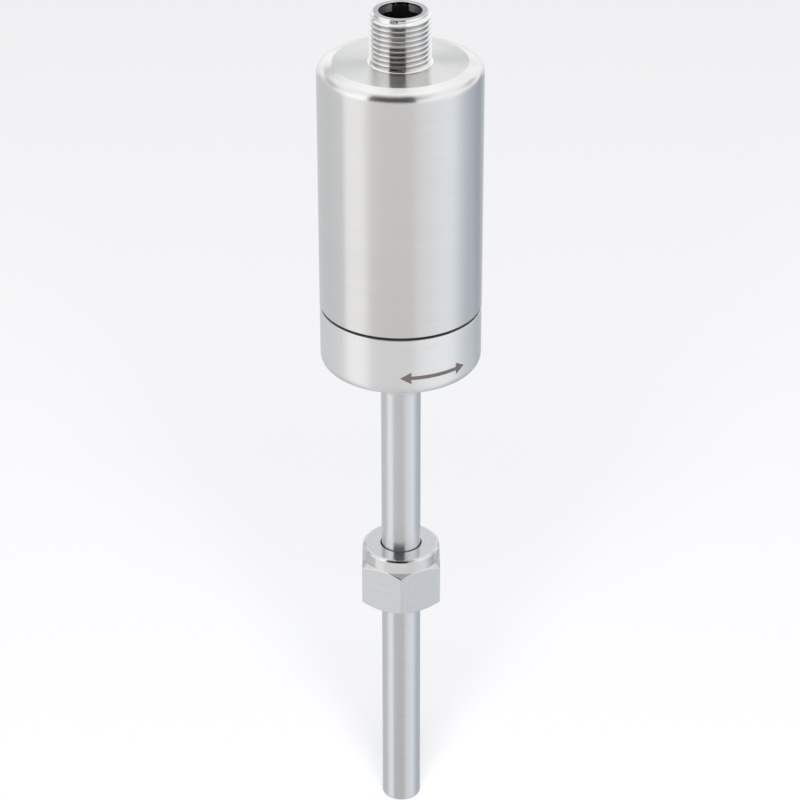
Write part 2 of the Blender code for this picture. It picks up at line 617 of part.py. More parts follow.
def make_probe_inside():
    """The ceramic strip with its heater and thermometers, and what keeps it and the leads in the middle."""
    half = STRIP_THICKNESS / 2
    block("element_strip", (-STRIP_WIDTH / 2, -half, STRIP_BOTTOM), (STRIP_WIDTH / 2, half, STRIP_TOP),
          ELEMENT_WHITE)
    tip_element = STRIP_BOTTOM + TIP_ELEMENT_ABOVE_STRIP_END
    places = {"heater_element": (-1, tip_element), "flow_thermometer": (1, tip_element),
              "reference_thermometer": (-1, tip_element + REFERENCE_ABOVE_TIP_ELEMENT)}
    for name, (side, bottom) in places.items():
        near = side * (half + SNUG_GAP)
        ends = sorted((near, near + side * ELEMENT_THICKNESS))
        block(name, (-ELEMENT_WIDTH / 2, ends[0], bottom),
              (ELEMENT_WIDTH / 2, ends[1], bottom + ELEMENT_HEIGHT), ELEMENT_WHITE)
    outer = SLEEVE_BORE - SEAT_GAP
    bottoms = (STRIP_BOTTOM + STRIP_LENGTH / 3, STRIP_TOP - LEAD_ON_STRIP - BUSH_LENGTH)
    for index, bottom in enumerate(bottoms):
        section = ring_section(BUSH_BORE, outer, bottom, bottom + BUSH_LENGTH)
        turned(f"centring_bush_{index + 1}", section, ELEMENT_WHITE, SMALL_COLUMNS)
    section = ring_section(BUSH_BORE, outer, SLEEVE_TOP - GROMMET_LENGTH, SLEEVE_TOP)
    turned("lead_grommet", section, BLACK_RUBBER, SMALL_COLUMNS)


# Union nut and ferrules

def nut_seat():
    """Where the nut's conical seat starts at its small bore, and the bore's radius."""
    return PROBE_RADIUS + SPIN_GAP, NUT_HEIGHT - NUT_TOP_WALL


def make_union_nut():
    """A hexagon cut round by a turned outline, and bored from below for the fitting's thread."""
    slope = math.tan(NUT_CHAMFER_ANGLE)
    beyond = NUT_ACROSS_FLATS / math.sqrt(3) + MM
    shoulder = NUT_ACROSS_FLATS / 2 - NUT_SHOULDER_INSET
    shoulder_level = NUT_HEIGHT - NUT_SHOULDER_HEIGHT
    face = NUT_ACROSS_FLATS / 2 - NUT_BOTTOM_FACE_INSET
    outline = [(0, NUT_HEIGHT), (shoulder - NUT_TOP_BREAK_WIDTH, NUT_HEIGHT),
               (shoulder, NUT_HEIGHT - NUT_TOP_BREAK), (shoulder, shoulder_level),
               (beyond, shoulder_level - (beyond - shoulder) * slope),
               (beyond, (beyond - face) * slope), (face, 0), (0, 0)]
    bore, seat = nut_seat()
    hollow = [(0, NUT_HEIGHT + MM), (bore, NUT_HEIGHT + MM), (bore, seat),
              (NUT_THREAD_RADIUS, seat - (NUT_THREAD_RADIUS - bore)), (NUT_THREAD_RADIUS, NUT_LEAD_CHAMFER),
              (NUT_THREAD_RADIUS + NUT_LEAD_CHAMFER + MM, -MM), (0, -MM)]
    nut = hexagon("union_nut", NUT_ACROSS_FLATS, -MM, NUT_HEIGHT + MM, NUT_STEEL)
    combine(nut, turned("nut_outline", outline, NUT_STEEL), "INTERSECT")
    return combine(nut, turned("nut_hollow", hollow, NUT_STEEL), "DIFFERENCE")


def make_ferrules():
    """The back ferrule under the nut's seat and the tapered front ferrule below it."""
    inner = PROBE_RADIUS + RUNNING_GAP
    outer = NUT_THREAD_RADIUS - FERRULE_ROOM
    bore, seat = nut_seat()
    cone = bore + seat - SEAT_GAP * math.sqrt(2)
    back_top = cone - (inner + SEAT_GAP)
    back_bottom = back_top - BACK_FERRULE_HEIGHT
    back = [(inner, back_bottom), (outer, back_bottom), (outer, cone - outer),
            (inner + SEAT_GAP, back_top), (inner, back_top)]
    turned("back_ferrule", back, NUT_STEEL)
    front_top = back_bottom - RUNNING_GAP
    front_bottom = front_top - FRONT_FERRULE_HEIGHT
    front = [(inner, front_bottom), (inner + FRONT_FERRULE_NOSE, front_bottom),
             (outer, front_top - FRONT_FERRULE_BAND), (outer, front_top), (inner, front_top)]
    turned("front_ferrule", front, NUT_STEEL)


make_base_flange()
make_base_o_ring()
make_seam_seal()
make_housing()
make_connector_shell()
make_connector_gasket()
make_lock_nut()
make_contact_carrier()
make_contact_pins()
make_pin_board()
make_board_holder()
make_boards()
make_supply_leads()
make_probe_leads()
make_probe_sleeve()
make_probe_inside()
make_union_nut()
make_ferrules()
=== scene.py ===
# %% [markdown]
# # A flow sensor for a pipe
# The sensor is a turned stainless housing on a base ring, with a threaded plug connector on top and a
# long closed probe below. The nut of the fitting that will hold it in a pipe is loose on the probe.
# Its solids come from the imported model. This lesson dresses them: it replaces the coarse turned solids
# with finely divided ones, and gives each piece the finish of the real metal, plastic or rubber.
# All sizes are in metres, +Z runs up the probe, and the camera stands towards -Y.

import json
import math

import bmesh
import bpy
import numpy as np
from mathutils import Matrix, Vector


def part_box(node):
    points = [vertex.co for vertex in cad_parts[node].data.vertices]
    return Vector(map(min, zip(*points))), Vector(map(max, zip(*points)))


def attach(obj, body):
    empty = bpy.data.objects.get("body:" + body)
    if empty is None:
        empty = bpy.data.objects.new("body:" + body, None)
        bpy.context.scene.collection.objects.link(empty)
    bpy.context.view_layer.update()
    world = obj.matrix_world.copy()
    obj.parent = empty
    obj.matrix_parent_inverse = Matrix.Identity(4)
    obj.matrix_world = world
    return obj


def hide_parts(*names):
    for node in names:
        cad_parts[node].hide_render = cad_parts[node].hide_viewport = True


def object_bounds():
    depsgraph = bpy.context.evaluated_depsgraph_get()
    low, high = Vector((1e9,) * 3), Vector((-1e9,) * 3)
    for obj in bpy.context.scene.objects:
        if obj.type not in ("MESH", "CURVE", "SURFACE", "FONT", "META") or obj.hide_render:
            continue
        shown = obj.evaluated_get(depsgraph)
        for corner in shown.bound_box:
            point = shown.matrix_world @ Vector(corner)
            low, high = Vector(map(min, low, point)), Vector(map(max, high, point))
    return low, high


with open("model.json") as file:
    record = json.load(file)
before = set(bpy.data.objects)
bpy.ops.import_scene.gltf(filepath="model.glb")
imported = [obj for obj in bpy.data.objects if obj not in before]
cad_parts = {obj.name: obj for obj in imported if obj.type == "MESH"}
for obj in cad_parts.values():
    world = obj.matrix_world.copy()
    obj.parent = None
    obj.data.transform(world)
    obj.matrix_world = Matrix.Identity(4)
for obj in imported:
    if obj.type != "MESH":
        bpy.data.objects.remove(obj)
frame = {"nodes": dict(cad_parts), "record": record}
MM = 0.001
TURN = 2 * math.pi
cad_box = [list(corner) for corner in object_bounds()]
print("CAD box in mm:", [[round(value / MM, 2) for value in corner] for corner in cad_box])

# %% [markdown]
# ## The camera
# The picture to match was taken from well above the sensor with a long lens, so that upright lines
# close in only a little towards the bottom. A short lens close by would give the same tilt but bend the
# rings too much. The place and the lens below come from the outline of the threaded connector, the seam,
# the nut and the probe's tip, and place each within half a pixel. The picture is also turned by a
# twelfth of a degree, so the camera is rolled by as much.

# %% Camera
CAMERA_PLACE = (-0.00017, -0.5194, 0.3361)
CAMERA_BELOW_LEVEL = math.radians(29.18)
CAMERA_ROLL = math.radians(-0.083)
CAMERA_LENS_MM = 133.16
CAMERA_SENSOR_MM = 36.0

camera_data = bpy.data.cameras.new("camera")
camera_data.lens = CAMERA_LENS_MM
camera_data.sensor_width = CAMERA_SENSOR_MM
camera = bpy.data.objects.new("camera", camera_data)
camera.location = CAMERA_PLACE
camera.rotation_mode = "ZYX"
camera.rotation_euler = (math.pi / 2 - CAMERA_BELOW_LEVEL, 0.0, CAMERA_ROLL)
bpy.context.scene.collection.objects.link(camera)
bpy.context.scene.camera = camera
bpy.context.scene.view_settings.view_transform = "Standard"
print("camera looks down by", round(math.degrees(CAMERA_BELOW_LEVEL), 2), "degrees")

# %% [markdown]
# ## Writing shaders as sums
# A shader is a net of nodes, and its arithmetic needs a Math node for each sign. It could be wired by
# hand, but a formula reads better as a formula. So one small class wraps a node's output and answers
# to the usual signs by adding the Math node that each stands for. Any other node comes from one method
# that takes the node's type, its settings and what goes into its sockets.

# %% Wires and recipes
class Wire:
    """An output of a node that can be used in sums, with numbers or other wires."""

    def __init__(self, recipe, socket):
        self.recipe = recipe
        self.socket = socket

    def math(self, operation, first, second=0.0):
        return self.recipe.node("ShaderNodeMath", {"operation": operation}, {0: first, 1: second})

    def __add__(self, other):
        return self.math("ADD", self, other)

    def __sub__(self, other):
        return self.math("SUBTRACT", self, other)

    def __mul__(self, other):
        return self.math("MULTIPLY", self, other)

    def __pow__(self, other):
        return self.math("POWER", self, other)

    def __rsub__(self, other):
        return self.math("SUBTRACT", other, self)

    def __neg__(self):
        return self.math("MULTIPLY", self, -1.0)

    def __abs__(self):
        return self.math("ABSOLUTE", self)

    __radd__ = __add__


class Recipe:
    """The node tree of a material or a world, filled one node at a time."""

    def __init__(self, tree):
        self.tree = tree
        tree.nodes.clear()

    def node(self, kind, settings=None, sockets=None, output=0):
        """Add a node, set it up, then fill its sockets with values or wires."""
        made = self.tree.nodes.new(kind)
        for key, value in (settings or {}).items():
            if key == "stops":
                ramp = made.color_ramp
                while len(ramp.elements) < len(value):
                    ramp.elements.new(0.5)
                for stop, (place, colour) in zip(ramp.elements, value):
                    stop.position = place
                    stop.color = (*colour, 1.0)
            else:
                setattr(made, key, value)
        for key, value in (sockets or {}).items():
            if isinstance(value, Wire):
                self.tree.links.new(value.socket, made.inputs[key])
            elif isinstance(value, tuple) and len(made.inputs[key].default_value) == 4:
                made.inputs[key].default_value = (*value, 1.0)
            else:
                made.inputs[key].default_value = value
        return Wire(self, made.outputs[output]) if made.outputs else None

    def blend(self, share, first, second):
        """Colours or plain colour values mixed by a share from 0 to 1."""
        return self.node("ShaderNodeMix", {"data_type": "RGBA"}, {0: share, 6: first, 7: second}, output=2)

    def rise(self, value, low, high):
        """0 below low, 1 above high, and a smooth step between."""
        limits = {0: value, 1: low, 2: high, 3: 0.0, 4: 1.0}
        return self.node("ShaderNodeMapRange", {"interpolation_type": "SMOOTHSTEP"}, limits)

    def parts(self, vector):
        """The three components of a vector."""
        split = self.node("ShaderNodeSeparateXYZ", None, {0: vector})
        return [Wire(self, output) for output in split.socket.node.outputs]

    def joined(self, x, y, z):
        """A vector from three components."""
        return self.node("ShaderNodeCombineXYZ", None, {0: x, 1: y, 2: z})


# %% [markdown]
# ## The studio
# Polished metal has hardly a colour of its own: what we see on it is the room. The sensor stands between
# white screens, with a dark gap for the camera and grey light from below. Lamps alone can't give that,
# because they show as single bright spots. A world whose colour depends on the direction gives all the
# screens at once. Only rays that come off a mirroring surface or through a clear one see it. Everything
# else gets plain even light, so that matt colours stay what they are, and the camera sees a pale
# background.

# %% What the metal mirrors below the horizon
SCREEN_LEVEL = 0.835


def grey(value, blue=0.0):
    """A screen's grey, with its red lowered and its blue raised by a little."""
    level = value * SCREEN_LEVEL
    return (level * (1 - blue), level, level * (1 + blue))


# One stop for each edge or middle of a screen: degrees round from the camera towards +X, and brightness
SCREENS_BELOW = [
    (-180, grey(0.82, 0.03)), (-160, grey(0.76, 0.03)), (-130, grey(0.71, 0.025)), (-100, grey(0.745, 0.01)),
    (-86, grey(0.77)), (-82, grey(1.09)), (-56, grey(1.08, -0.005)), (-46, grey(0.92, -0.005)),
    (-38, grey(0.85, -0.01)), (-20, grey(0.81, -0.015)), (14, grey(0.81, -0.01)), (22, grey(0.86)),
    (38, grey(0.91, 0.01)), (66, grey(1.02, 0.035)), (78, grey(1.00, 0.035)), (90, grey(0.82, 0.06)),
    (102, grey(0.67, 0.09)), (116, grey(0.53, 0.10)), (132, grey(0.43, 0.09)), (148, grey(0.53, 0.08)),
    (162, grey(0.75, 0.06)), (180, grey(0.82, 0.03)),
]
stops_below = [((degrees + 180) / 360, colour) for degrees, colour in SCREENS_BELOW]
print(len(stops_below), "stops round the lower half of the studio")

# %% [markdown]
# A ring of stops can't hold all that the metal shows, so patches are laid over it. A patch is a field of
# directions with soft edges: its share of the colour is a product of smooth steps, one for each axis that
# bounds it. Glows and dim fields to both sides are what the rounded edges mirror. A band and a slanting
# bar behind show on the top face. In front is the dark gap, and under it the dark edge of a table.

# %% Patches of light and shade
BLACK = (0.0, 0.0, 0.0)
DARK_GAP = (0.014, 0.011, 0.010)
DARK_TABLE = (0.035, 0.027, 0.023)
GAP_SIDES = {"past left edge": (-0.36, -0.30), "before right edge": (-0.18, -0.12)}
GAP_FRONT = {**GAP_SIDES, "near": (-0.48, 0.64)}
TABLE_FRONT = {**GAP_SIDES, "near": (-0.20, 0.20)}
SIDE_FRONT = {"near": (0.10, 0.30), "up": (0.555, 0.59), "down": (-0.80, -0.72)}
DIM_FIELD = {"far": (0.15, 0.35), "near": (-0.72, -0.62), "up": (0.32, 0.40), "down": (-0.64, -0.56)}
BEHIND = {"far": (0.55, 0.80), "left": (-0.30, -0.10)}

# Each patch: name, colour, strength, and for each axis where the patch begins and where it is full
ROUND_PATCHES = [
    ("grey screen far right", grey(0.76, 0.05), 1.0,
     {"right": (0.45, 0.60), "far": (0.30, 0.50), "down": (0.44, 0.53)}),
    ("pale rim behind", grey(1.08, 0.02), 1.0,
     {"far": (0.75, 0.90), "up": (-0.28, -0.16)}),
]
LOWER_PATCHES = [
    ("shade straight below", BLACK, 0.16,
     {"down": (0.50, 0.66)}),
    ("light before the table", grey(1.03), 1.0,
     {**TABLE_FRONT, "down": (0.44, 0.50), "up": (-0.575, -0.56)}),
    ("edge of the table", DARK_TABLE, 1.0,
     {**TABLE_FRONT, "down": (0.572, 0.59), "up": (-0.72, -0.68)}),
]
UPPER_PATCHES = [
    ("beside the middle", grey(1.15), 1.0,
     {"sideways": (0.15, 0.40)}),
    ("far to both sides", grey(0.86), 1.0,
     {"sideways": (0.55, 0.85), "far": (0.05, 0.30)}),
    ("low glow on the right", grey(1.20), 1.0,
     {"right": (0.14, 0.40), "down": (-0.50, -0.42)}),
    ("low glow on the left", grey(1.50), 1.0,
     {"left": (0.30, 0.50), "near": (0.05, 0.25), "down": (-0.48, -0.42)}),
    ("high glow on the left", grey(1.45), 1.0,
     {"left": (0.30, 0.48), **SIDE_FRONT}),
    ("high glow on the right", grey(1.25), 1.0,
     {"right": (0.30, 0.48), **SIDE_FRONT}),
    ("dim field on the left", grey(0.58), 1.0,
     {"left": (0.45, 0.60), **DIM_FIELD}),
    ("dim field on the right", grey(0.66), 1.0,
     {"right": (0.45, 0.60), **DIM_FIELD}),
    ("shade beside the gap", BLACK, 0.6,
     {"before right edge": (-0.65, -0.10), "up": (0.50, 0.58), "near": (-0.40, 0.66), "right": (0.0, 0.10)}),
    ("band behind", grey(1.00, 0.02), 1.0,
     {**BEHIND, "up": (0.46, 0.50), "down": (-0.66, -0.56)}),
    ("slanting bar behind", grey(0.64, 0.03), 1.0,
     {**BEHIND, "over bar's foot": (0.31, 0.345), "under bar's head": (-0.45, -0.415)}),
]

# %% Studio world
PALE_BACKGROUND = (0.90, 0.905, 0.91)
SOFT_LIGHT = (0.46, 0.46, 0.47)
CEILING = grey(1.36)
HORIZON = (0.02, 0.20)
GAP_FOOT = (0.12, 0.25)
LEFT_EDGE_LEAN = 0.5
RIGHT_EDGE_LEAN = 0.219
BAR_LEAN = 0.24

world = bpy.data.worlds.new("studio")
world.use_nodes = True
world.cycles.sampling_method = "NONE"
bpy.context.scene.world = world
sky = Recipe(world.node_tree)
toward_x, toward_y, toward_z = sky.parts(sky.node("ShaderNodeTexCoord"))
right_of_gap = toward_x + toward_y * RIGHT_EDGE_LEAN
up_the_bar = toward_z + toward_x * BAR_LEAN
axes = {
    "right": toward_x, "left": -toward_x, "sideways": abs(toward_x),
    "far": toward_y, "near": -toward_y, "up": toward_z, "down": -toward_z,
    "past left edge": toward_x - toward_y * LEFT_EDGE_LEAN, "before right edge": -right_of_gap,
    "over bar's foot": up_the_bar, "under bar's head": -up_the_bar,
}


def patched(colour, patches):
    """Lay patches over a colour: the share of each is its strength times all its smooth steps."""
    for name, patch, strength, limits in patches:
        share = strength
        for axis, (begins, full) in limits.items():
            share = sky.rise(axes[axis], begins, full) * share
        colour = sky.blend(share, colour, patch)
        colour.socket.node.label = name
    return colour


round_camera = toward_x.math("ARCTAN2", toward_x, -toward_y)
stops = sky.node("ShaderNodeValToRGB", {"stops": stops_below}, {0: round_camera * (1 / TURN) + 0.5})
screens = patched(stops, ROUND_PATCHES)
below = patched(screens, LOWER_PATCHES)
gap_colour = sky.blend(sky.rise(toward_z, *GAP_FOOT), screens, DARK_GAP)
above = patched(CEILING, [*UPPER_PATCHES, ("gap for the camera", gap_colour, 1.0, GAP_FRONT)])
studio = sky.blend(sky.rise(toward_z, *HORIZON), below, above)
mirrored = sky.node("ShaderNodeLightPath", None, None, "Is Glossy Ray")
through = sky.node("ShaderNodeLightPath", None, None, "Is Transmission Ray")
seen = sky.node("ShaderNodeLightPath", None, None, "Is Camera Ray")
lit = sky.blend(mirrored.math("MAXIMUM", mirrored, through), SOFT_LIGHT, studio)
background = sky.node("ShaderNodeBackground", None, {0: sky.blend(seen, lit, PALE_BACKGROUND), 1: 1.0})
sky.node("ShaderNodeOutputWorld", None, {0: background})
print(len(world.node_tree.nodes), "nodes in the studio")

# %% [markdown]
# ## Floor and lamp
# A pale floor under the probe's tip catches a soft shadow. It is hidden from mirrored rays, because the
# metal already sees the light from below in the studio. It glows a little, but only for the camera, so
# that the background is pale without more light on the metal. Its back is clear, so that the underside
# can be looked at too. One wide lamp gives the shadow its direction.

# %% Floor and lamp
FLOOR_DROP = 0.05 * MM
FLOOR_LEVEL = cad_box[0][2] - FLOOR_DROP
FLOOR_HALF = 8.0
FLOOR_PAINT = (0.93, 0.935, 0.94)
FLOOR_ROUGHNESS = 0.9
FLOOR_GLOW = (0.25, 0.25, 0.25)
LAMP_PLACE = (0.0, -1.37, 0.95)
LAMP_TARGET = (0.0, 0.0, 0.04)
LAMP_WATTS = 20.0
LAMP_SIZE = 1.2

floor_mesh = bpy.data.meshes.new("floor")
floor_corners = [(x * FLOOR_HALF, y * FLOOR_HALF, FLOOR_LEVEL)
                 for x, y in ((-1, -1), (1, -1), (1, 1), (-1, 1))]
floor_mesh.from_pydata(floor_corners, [], [(0, 1, 2, 3)])
floor = bpy.data.objects.new("floor", floor_mesh)
bpy.context.scene.collection.objects.link(floor)
floor.visible_glossy = False
paint = bpy.data.materials.new("floor_paint")
paint.use_nodes = True
floor_recipe = Recipe(paint.node_tree)
floor_seen = floor_recipe.node("ShaderNodeLightPath", None, None, "Is Camera Ray")
floor_glow = floor_recipe.blend(floor_seen, BLACK, FLOOR_GLOW)
matt = floor_recipe.node("ShaderNodeBsdfPrincipled", None, {
    "Base Color": FLOOR_PAINT, "Roughness": FLOOR_ROUGHNESS,
    "Emission Color": floor_glow, "Emission Strength": 1.0})
from_below = floor_recipe.node("ShaderNodeNewGeometry", None, None, "Backfacing")
clear = floor_recipe.node("ShaderNodeBsdfTransparent")
floor_surface = floor_recipe.node("ShaderNodeMixShader", None, {0: from_below, 1: matt, 2: clear})
floor_recipe.node("ShaderNodeOutputMaterial", None, {0: floor_surface})
floor_mesh.materials.append(paint)

lamp_data = bpy.data.lights.new("wide_lamp", "AREA")
lamp_data.energy = LAMP_WATTS
lamp_data.size = LAMP_SIZE
lamp = bpy.data.objects.new("wide_lamp", lamp_data)
lamp.location = LAMP_PLACE
# The lamp shines along its own -Z: it is tilted away from there, then turned round the upright axis
to_target = np.array(LAMP_TARGET) - np.array(LAMP_PLACE)
lamp.rotation_euler = (math.acos(to_target[2] / -np.linalg.norm(to_target)), 0.0,
                       math.atan2(to_target[1], to_target[0]) - math.pi / 2)
lamp.visible_glossy = False
lamp.visible_camera = False
bpy.context.scene.collection.objects.link(lamp)
print("floor at", round(FLOOR_LEVEL / MM, 2), "mm")

# %% [markdown]
# ## Profiles with broken edges
# Every turned piece is a profile carried round the axis. The corners of a real one are never sharp: the
# tool leaves a small round, and that round is what shines. A Bevel modifier could make it, but on fine
# threads it stumbles, and it can't follow a profile that changes on its way round. So the round is worked
# out in the profile itself. Beside each round lies one more point, which keeps the flat next to it flat
# when the normals are smoothed.

# %% Rounded profile
GUARD = 0.03 * MM


def unit(vectors):
    """Each vector divided by its length."""
    return vectors / np.linalg.norm(vectors, axis=-1, keepdims=True)


def rounded(corners, roundings, steps=6):
    """A profile whose corner i is cut by an arc of radius roundings[i].

    The arc touches both sides at radius / tan(half the corner's angle) from the corner, and its centre lies
    on the line that halves the angle. Points between are circle points: sin((1 - s) turn) times the first
    spoke plus sin(s turn) times the last one, over sin(turn). Corners may be arrays, one row per direction.
    """
    corners = np.asarray(corners, float)
    share = np.linspace(0, 1, steps + 1).reshape(-1, *[1] * (corners.ndim - 1))
    rows = []
    for index, rounding in enumerate(roundings):
        corner = corners[index]
        if rounding == 0:
            rows.append(corner[None])
            continue
        back = unit(corners[index - 1] - corner)
        ahead = unit(corners[(index + 1) % len(corners)] - corner)
        half = np.arccos(np.clip((back * ahead).sum(-1, keepdims=True), -1, 1)) / 2
        reach = rounding / np.tan(half)
        turn = math.pi - 2 * half
        centre = corner + unit(back + ahead) * rounding / np.sin(half)
        first = corner + back * reach - centre
        last = corner + ahead * reach - centre
        arc = centre + (np.sin((1 - share) * turn) * first + np.sin(share * turn) * last) / np.sin(turn)
        rows += [(corner + back * (reach + GUARD))[None], arc, (corner + ahead * (reach + GUARD))[None]]
    return np.concatenate(rows)


# %% [markdown]
# ## From grids to pieces
# A surface here is a grid of points: the rows follow the profile, and the columns go round the axis. The
# angle is measured from -Y towards +X. A screw thread is a grid too, but its rows climb by one pitch on
# their way round, so the last column is joined to the first one a few rows higher. Points of two
# grids that meet are merged at the end, and then the faces are turned outwards.

# %% Grids and pieces
MERGE = 0.0002 * MM
SHARP = math.radians(50)


def even(columns):
    """Equal angles round the axis."""
    return np.arange(columns) * TURN / columns


def carried(profile, angles):
    """Point (i, k) is profile point i turned by angle k: x = r sin a, y = -r cos a, z = height."""
    radius, height = np.broadcast_to(profile[:, None] if profile.ndim == 2 else profile,
                                     (len(profile), len(angles), 2)).transpose(2, 0, 1)
    return np.stack([radius * np.sin(angles), -radius * np.cos(angles), height], axis=-1)


def all_round(angles, corners):
    """Profile corners for every angle. A radius or a height may be a number or one value for each angle."""
    return [np.stack(np.broadcast_arrays(radius, height, angles)[:2], axis=-1) for radius, height in corners]


def quads_of(rows, columns, climb, closed_rows):
    """Four corners of each face. The seam's far side lies climb rows higher."""
    count = rows if closed_rows else rows - 1
    row, column = np.meshgrid(np.arange(count), np.arange(columns), indexing="ij")
    beside_row = row + np.where(column == columns - 1, climb, 0)
    beside = (column + 1) % columns
    quads = np.stack([row * columns + column,
                      beside_row * columns + beside,
                      (beside_row + 1) % rows * columns + beside,
                      (row + 1) % rows * columns + column], axis=-1)
    return quads[beside_row < count]


def add_piece(name, grids, finish, body, replaced=()):
    """Make one mesh object of several grids, each given as (points, climb, rows closed or not)."""
    points = np.concatenate([grid.reshape(-1, 3) for grid, climb, closed_rows in grids])
    starts = np.cumsum([0] + [grid.shape[0] * grid.shape[1] for grid, climb, closed_rows in grids])
    faces = np.concatenate([quads_of(grid.shape[0], grid.shape[1], climb, closed_rows) + start
                            for (grid, climb, closed_rows), start in zip(grids, starts)])
    mesh = bpy.data.meshes.new(name)
    mesh.from_pydata(points.tolist(), [], faces.tolist())
    work = bmesh.new()
    work.from_mesh(mesh)
    bmesh.ops.remove_doubles(work, verts=work.verts, dist=MERGE)
    bmesh.ops.recalc_face_normals(work, faces=work.faces)
    work.to_mesh(mesh)
    work.free()
    mesh.shade_smooth()
    mesh.set_sharp_from_angle(angle=SHARP)
    mesh.materials.append(finish)
    piece = bpy.data.objects.new(name, mesh)
    bpy.context.scene.collection.objects.link(piece)
    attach(piece, body)
    if replaced:
        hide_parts(*replaced)
    triangles = sum(len(face.vertices) - 2 for face in mesh.polygons)
    size = [round(value / MM, 2) for value in piece.dimensions]
    print(name, triangles, "triangles,", size, "mm")


# %% [markdown]
# ## Turned steel
# A lathe leaves fine grooves round the axis. They spread what is mirrored along the probe but hardly
# across it, which is why the screens show as crisp upright bands. The shader has this as anisotropy, a
# constant on its own socket. The grooves themselves are noise that is drawn out round the axis: its
# one fast direction is the way along the profile, height minus radius, which runs up the wall and
# on across the top face without a break.

# %% Metal finishes
ALONG_PROBE = 0.25


def along_profile(recipe):
    """Object coordinates in millimetres, and the distance along a turned profile."""
    coordinates = recipe.node("ShaderNodeTexCoord", None, None, "Object")
    in_mm = recipe.node("ShaderNodeVectorMath", {"operation": "SCALE"}, {0: coordinates, 3: 1 / MM})
    x, y, z = recipe.parts(in_mm)
    return x, y, z, z - (x * x + y * y) ** 0.5


def noise(recipe, x, y, z, scale, detail=2.0):
    """Smooth noise from 0 to 1 at a place."""
    place = recipe.joined(x, y, z)
    return recipe.node("ShaderNodeTexNoise", None, {"Vector": place, "Scale": scale, "Detail": detail})


def grooves(recipe, x, y, way, slow, per_mm, detail=2.0):
    """Noise drawn out round the axis: slow with x and y, fast along the way."""
    return noise(recipe, x * slow, y * slow, way * per_mm, 1.0, detail)


def bump(recipe, height, strength, depth=0.01 * MM):
    """A normal that follows a height: depth is how far 1 would stand above 0 at full strength."""
    return recipe.node("ShaderNodeBump", None, {"Strength": strength, "Distance": depth, "Height": height})


def brushed(anisotropy):
    """Shader constants that spread what is mirrored along the probe: a quarter turn from round it."""
    return {"Anisotropic": anisotropy, "Anisotropic Rotation": ALONG_PROBE}


def finish_with(recipe, colour, roughness, metallic, normal, **constants):
    """Close a recipe with the Principled shader. Constants go straight onto its sockets."""
    wired = {"Base Color": colour, "Roughness": roughness, "Metallic": metallic, "Normal": normal}
    shader = recipe.node("ShaderNodeBsdfPrincipled", None, {**wired, **constants})
    recipe.node("ShaderNodeOutputMaterial", None, {0: shader})


def new_finish(name):
    """A new material, the recipe of its nodes, and the place of a point as along_profile gives it."""
    material = bpy.data.materials.new(name)
    material.use_nodes = True
    recipe = Recipe(material.node_tree)
    return material, recipe, *along_profile(recipe)


def turned_steel(name, dark, light, roughness, anisotropy, groove, metallic=0.97):
    """Steel with grooves round the axis: groove is how many lie on a millimetre, roughly."""
    material, recipe, x, y, z, way = new_finish(name)
    fine = grooves(recipe, x, y, way, 0.05, groove, 3.0)
    broad = grooves(recipe, x, y, way, 0.03, 0.5, 1.0)
    cloud = noise(recipe, x, y, z, 0.15)
    tone = fine * 0.6 + broad * 0.25 + cloud * 0.15
    colour = recipe.blend(recipe.rise(tone, 0.3, 0.7), dark, light)
    rough = roughness + (fine + cloud - 1.0) * 0.02
    finish_with(recipe, colour, rough, metallic, bump(recipe, fine, 0.04), **brushed(anisotropy))
    return material


housing_steel = turned_steel("turned_housing_steel", (0.845, 0.84, 0.835), (0.875, 0.87, 0.865),
                             roughness=0.24, anisotropy=0.85, groove=4.0)
probe_steel = turned_steel("drawn_probe_steel", (0.81, 0.825, 0.845), (0.855, 0.87, 0.89),
                           roughness=0.28, anisotropy=0.78, groove=5.0)

# %% [markdown]
# ## The housing
# The housing is a cup turned from bar: a straight wall, a rounded upper edge and a top face that falls
# away very slightly towards that edge. A cylinder with a bevel would come close, but the slight fall is
# what lights up the ring just inside the edge. So the profile has a blunt corner there, a little rounded.

# %% Housing
HOUSING_LOW, HOUSING_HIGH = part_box("housing")
HOUSING_RADIUS = HOUSING_HIGH.x
HOUSING_WALL = 1.8 * MM
HOUSING_BORE = HOUSING_RADIUS - HOUSING_WALL
HOUSING_HOLE = 5.39 * MM
TOP_EDGE = 1.9 * MM
TOP_LEVEL = HOUSING_HIGH.z + 0.25 * MM
TOP_FALL = 0.92 * MM
FALL_STARTS = 13.0 * MM
FALL_ROUND = 0.8 * MM
TOP_PLATE = 3.0 * MM
ROUND_COLUMNS = 224

housing_corners = [
    (HOUSING_BORE, HOUSING_LOW.z), (HOUSING_RADIUS, HOUSING_LOW.z), (HOUSING_RADIUS, TOP_LEVEL - TOP_FALL),
    (FALL_STARTS, TOP_LEVEL), (HOUSING_HOLE, TOP_LEVEL), (HOUSING_HOLE, TOP_LEVEL - TOP_PLATE),
    (HOUSING_BORE, TOP_LEVEL - TOP_PLATE),
]
housing_roundings = [0.3 * MM, 0.12 * MM, TOP_EDGE, FALL_ROUND, 0.1 * MM, 0, 0]
housing_profile = rounded(housing_corners, housing_roundings, steps=14)
add_piece("housing_cup", [(carried(housing_profile, even(ROUND_COLUMNS)), 0, True)], housing_steel,
          "sensor", ["housing"])

# %% [markdown]
# ## The base ring
# The base ring is duller than the housing: a fine even grain lies over its turned lines, as if it had been
# blasted lightly, so that the arrow reads well on it. Its lower edge is rounded, and under it a short neck
# tapers onto the probe. The ring, its spigot inside the housing and the neck are one profile.

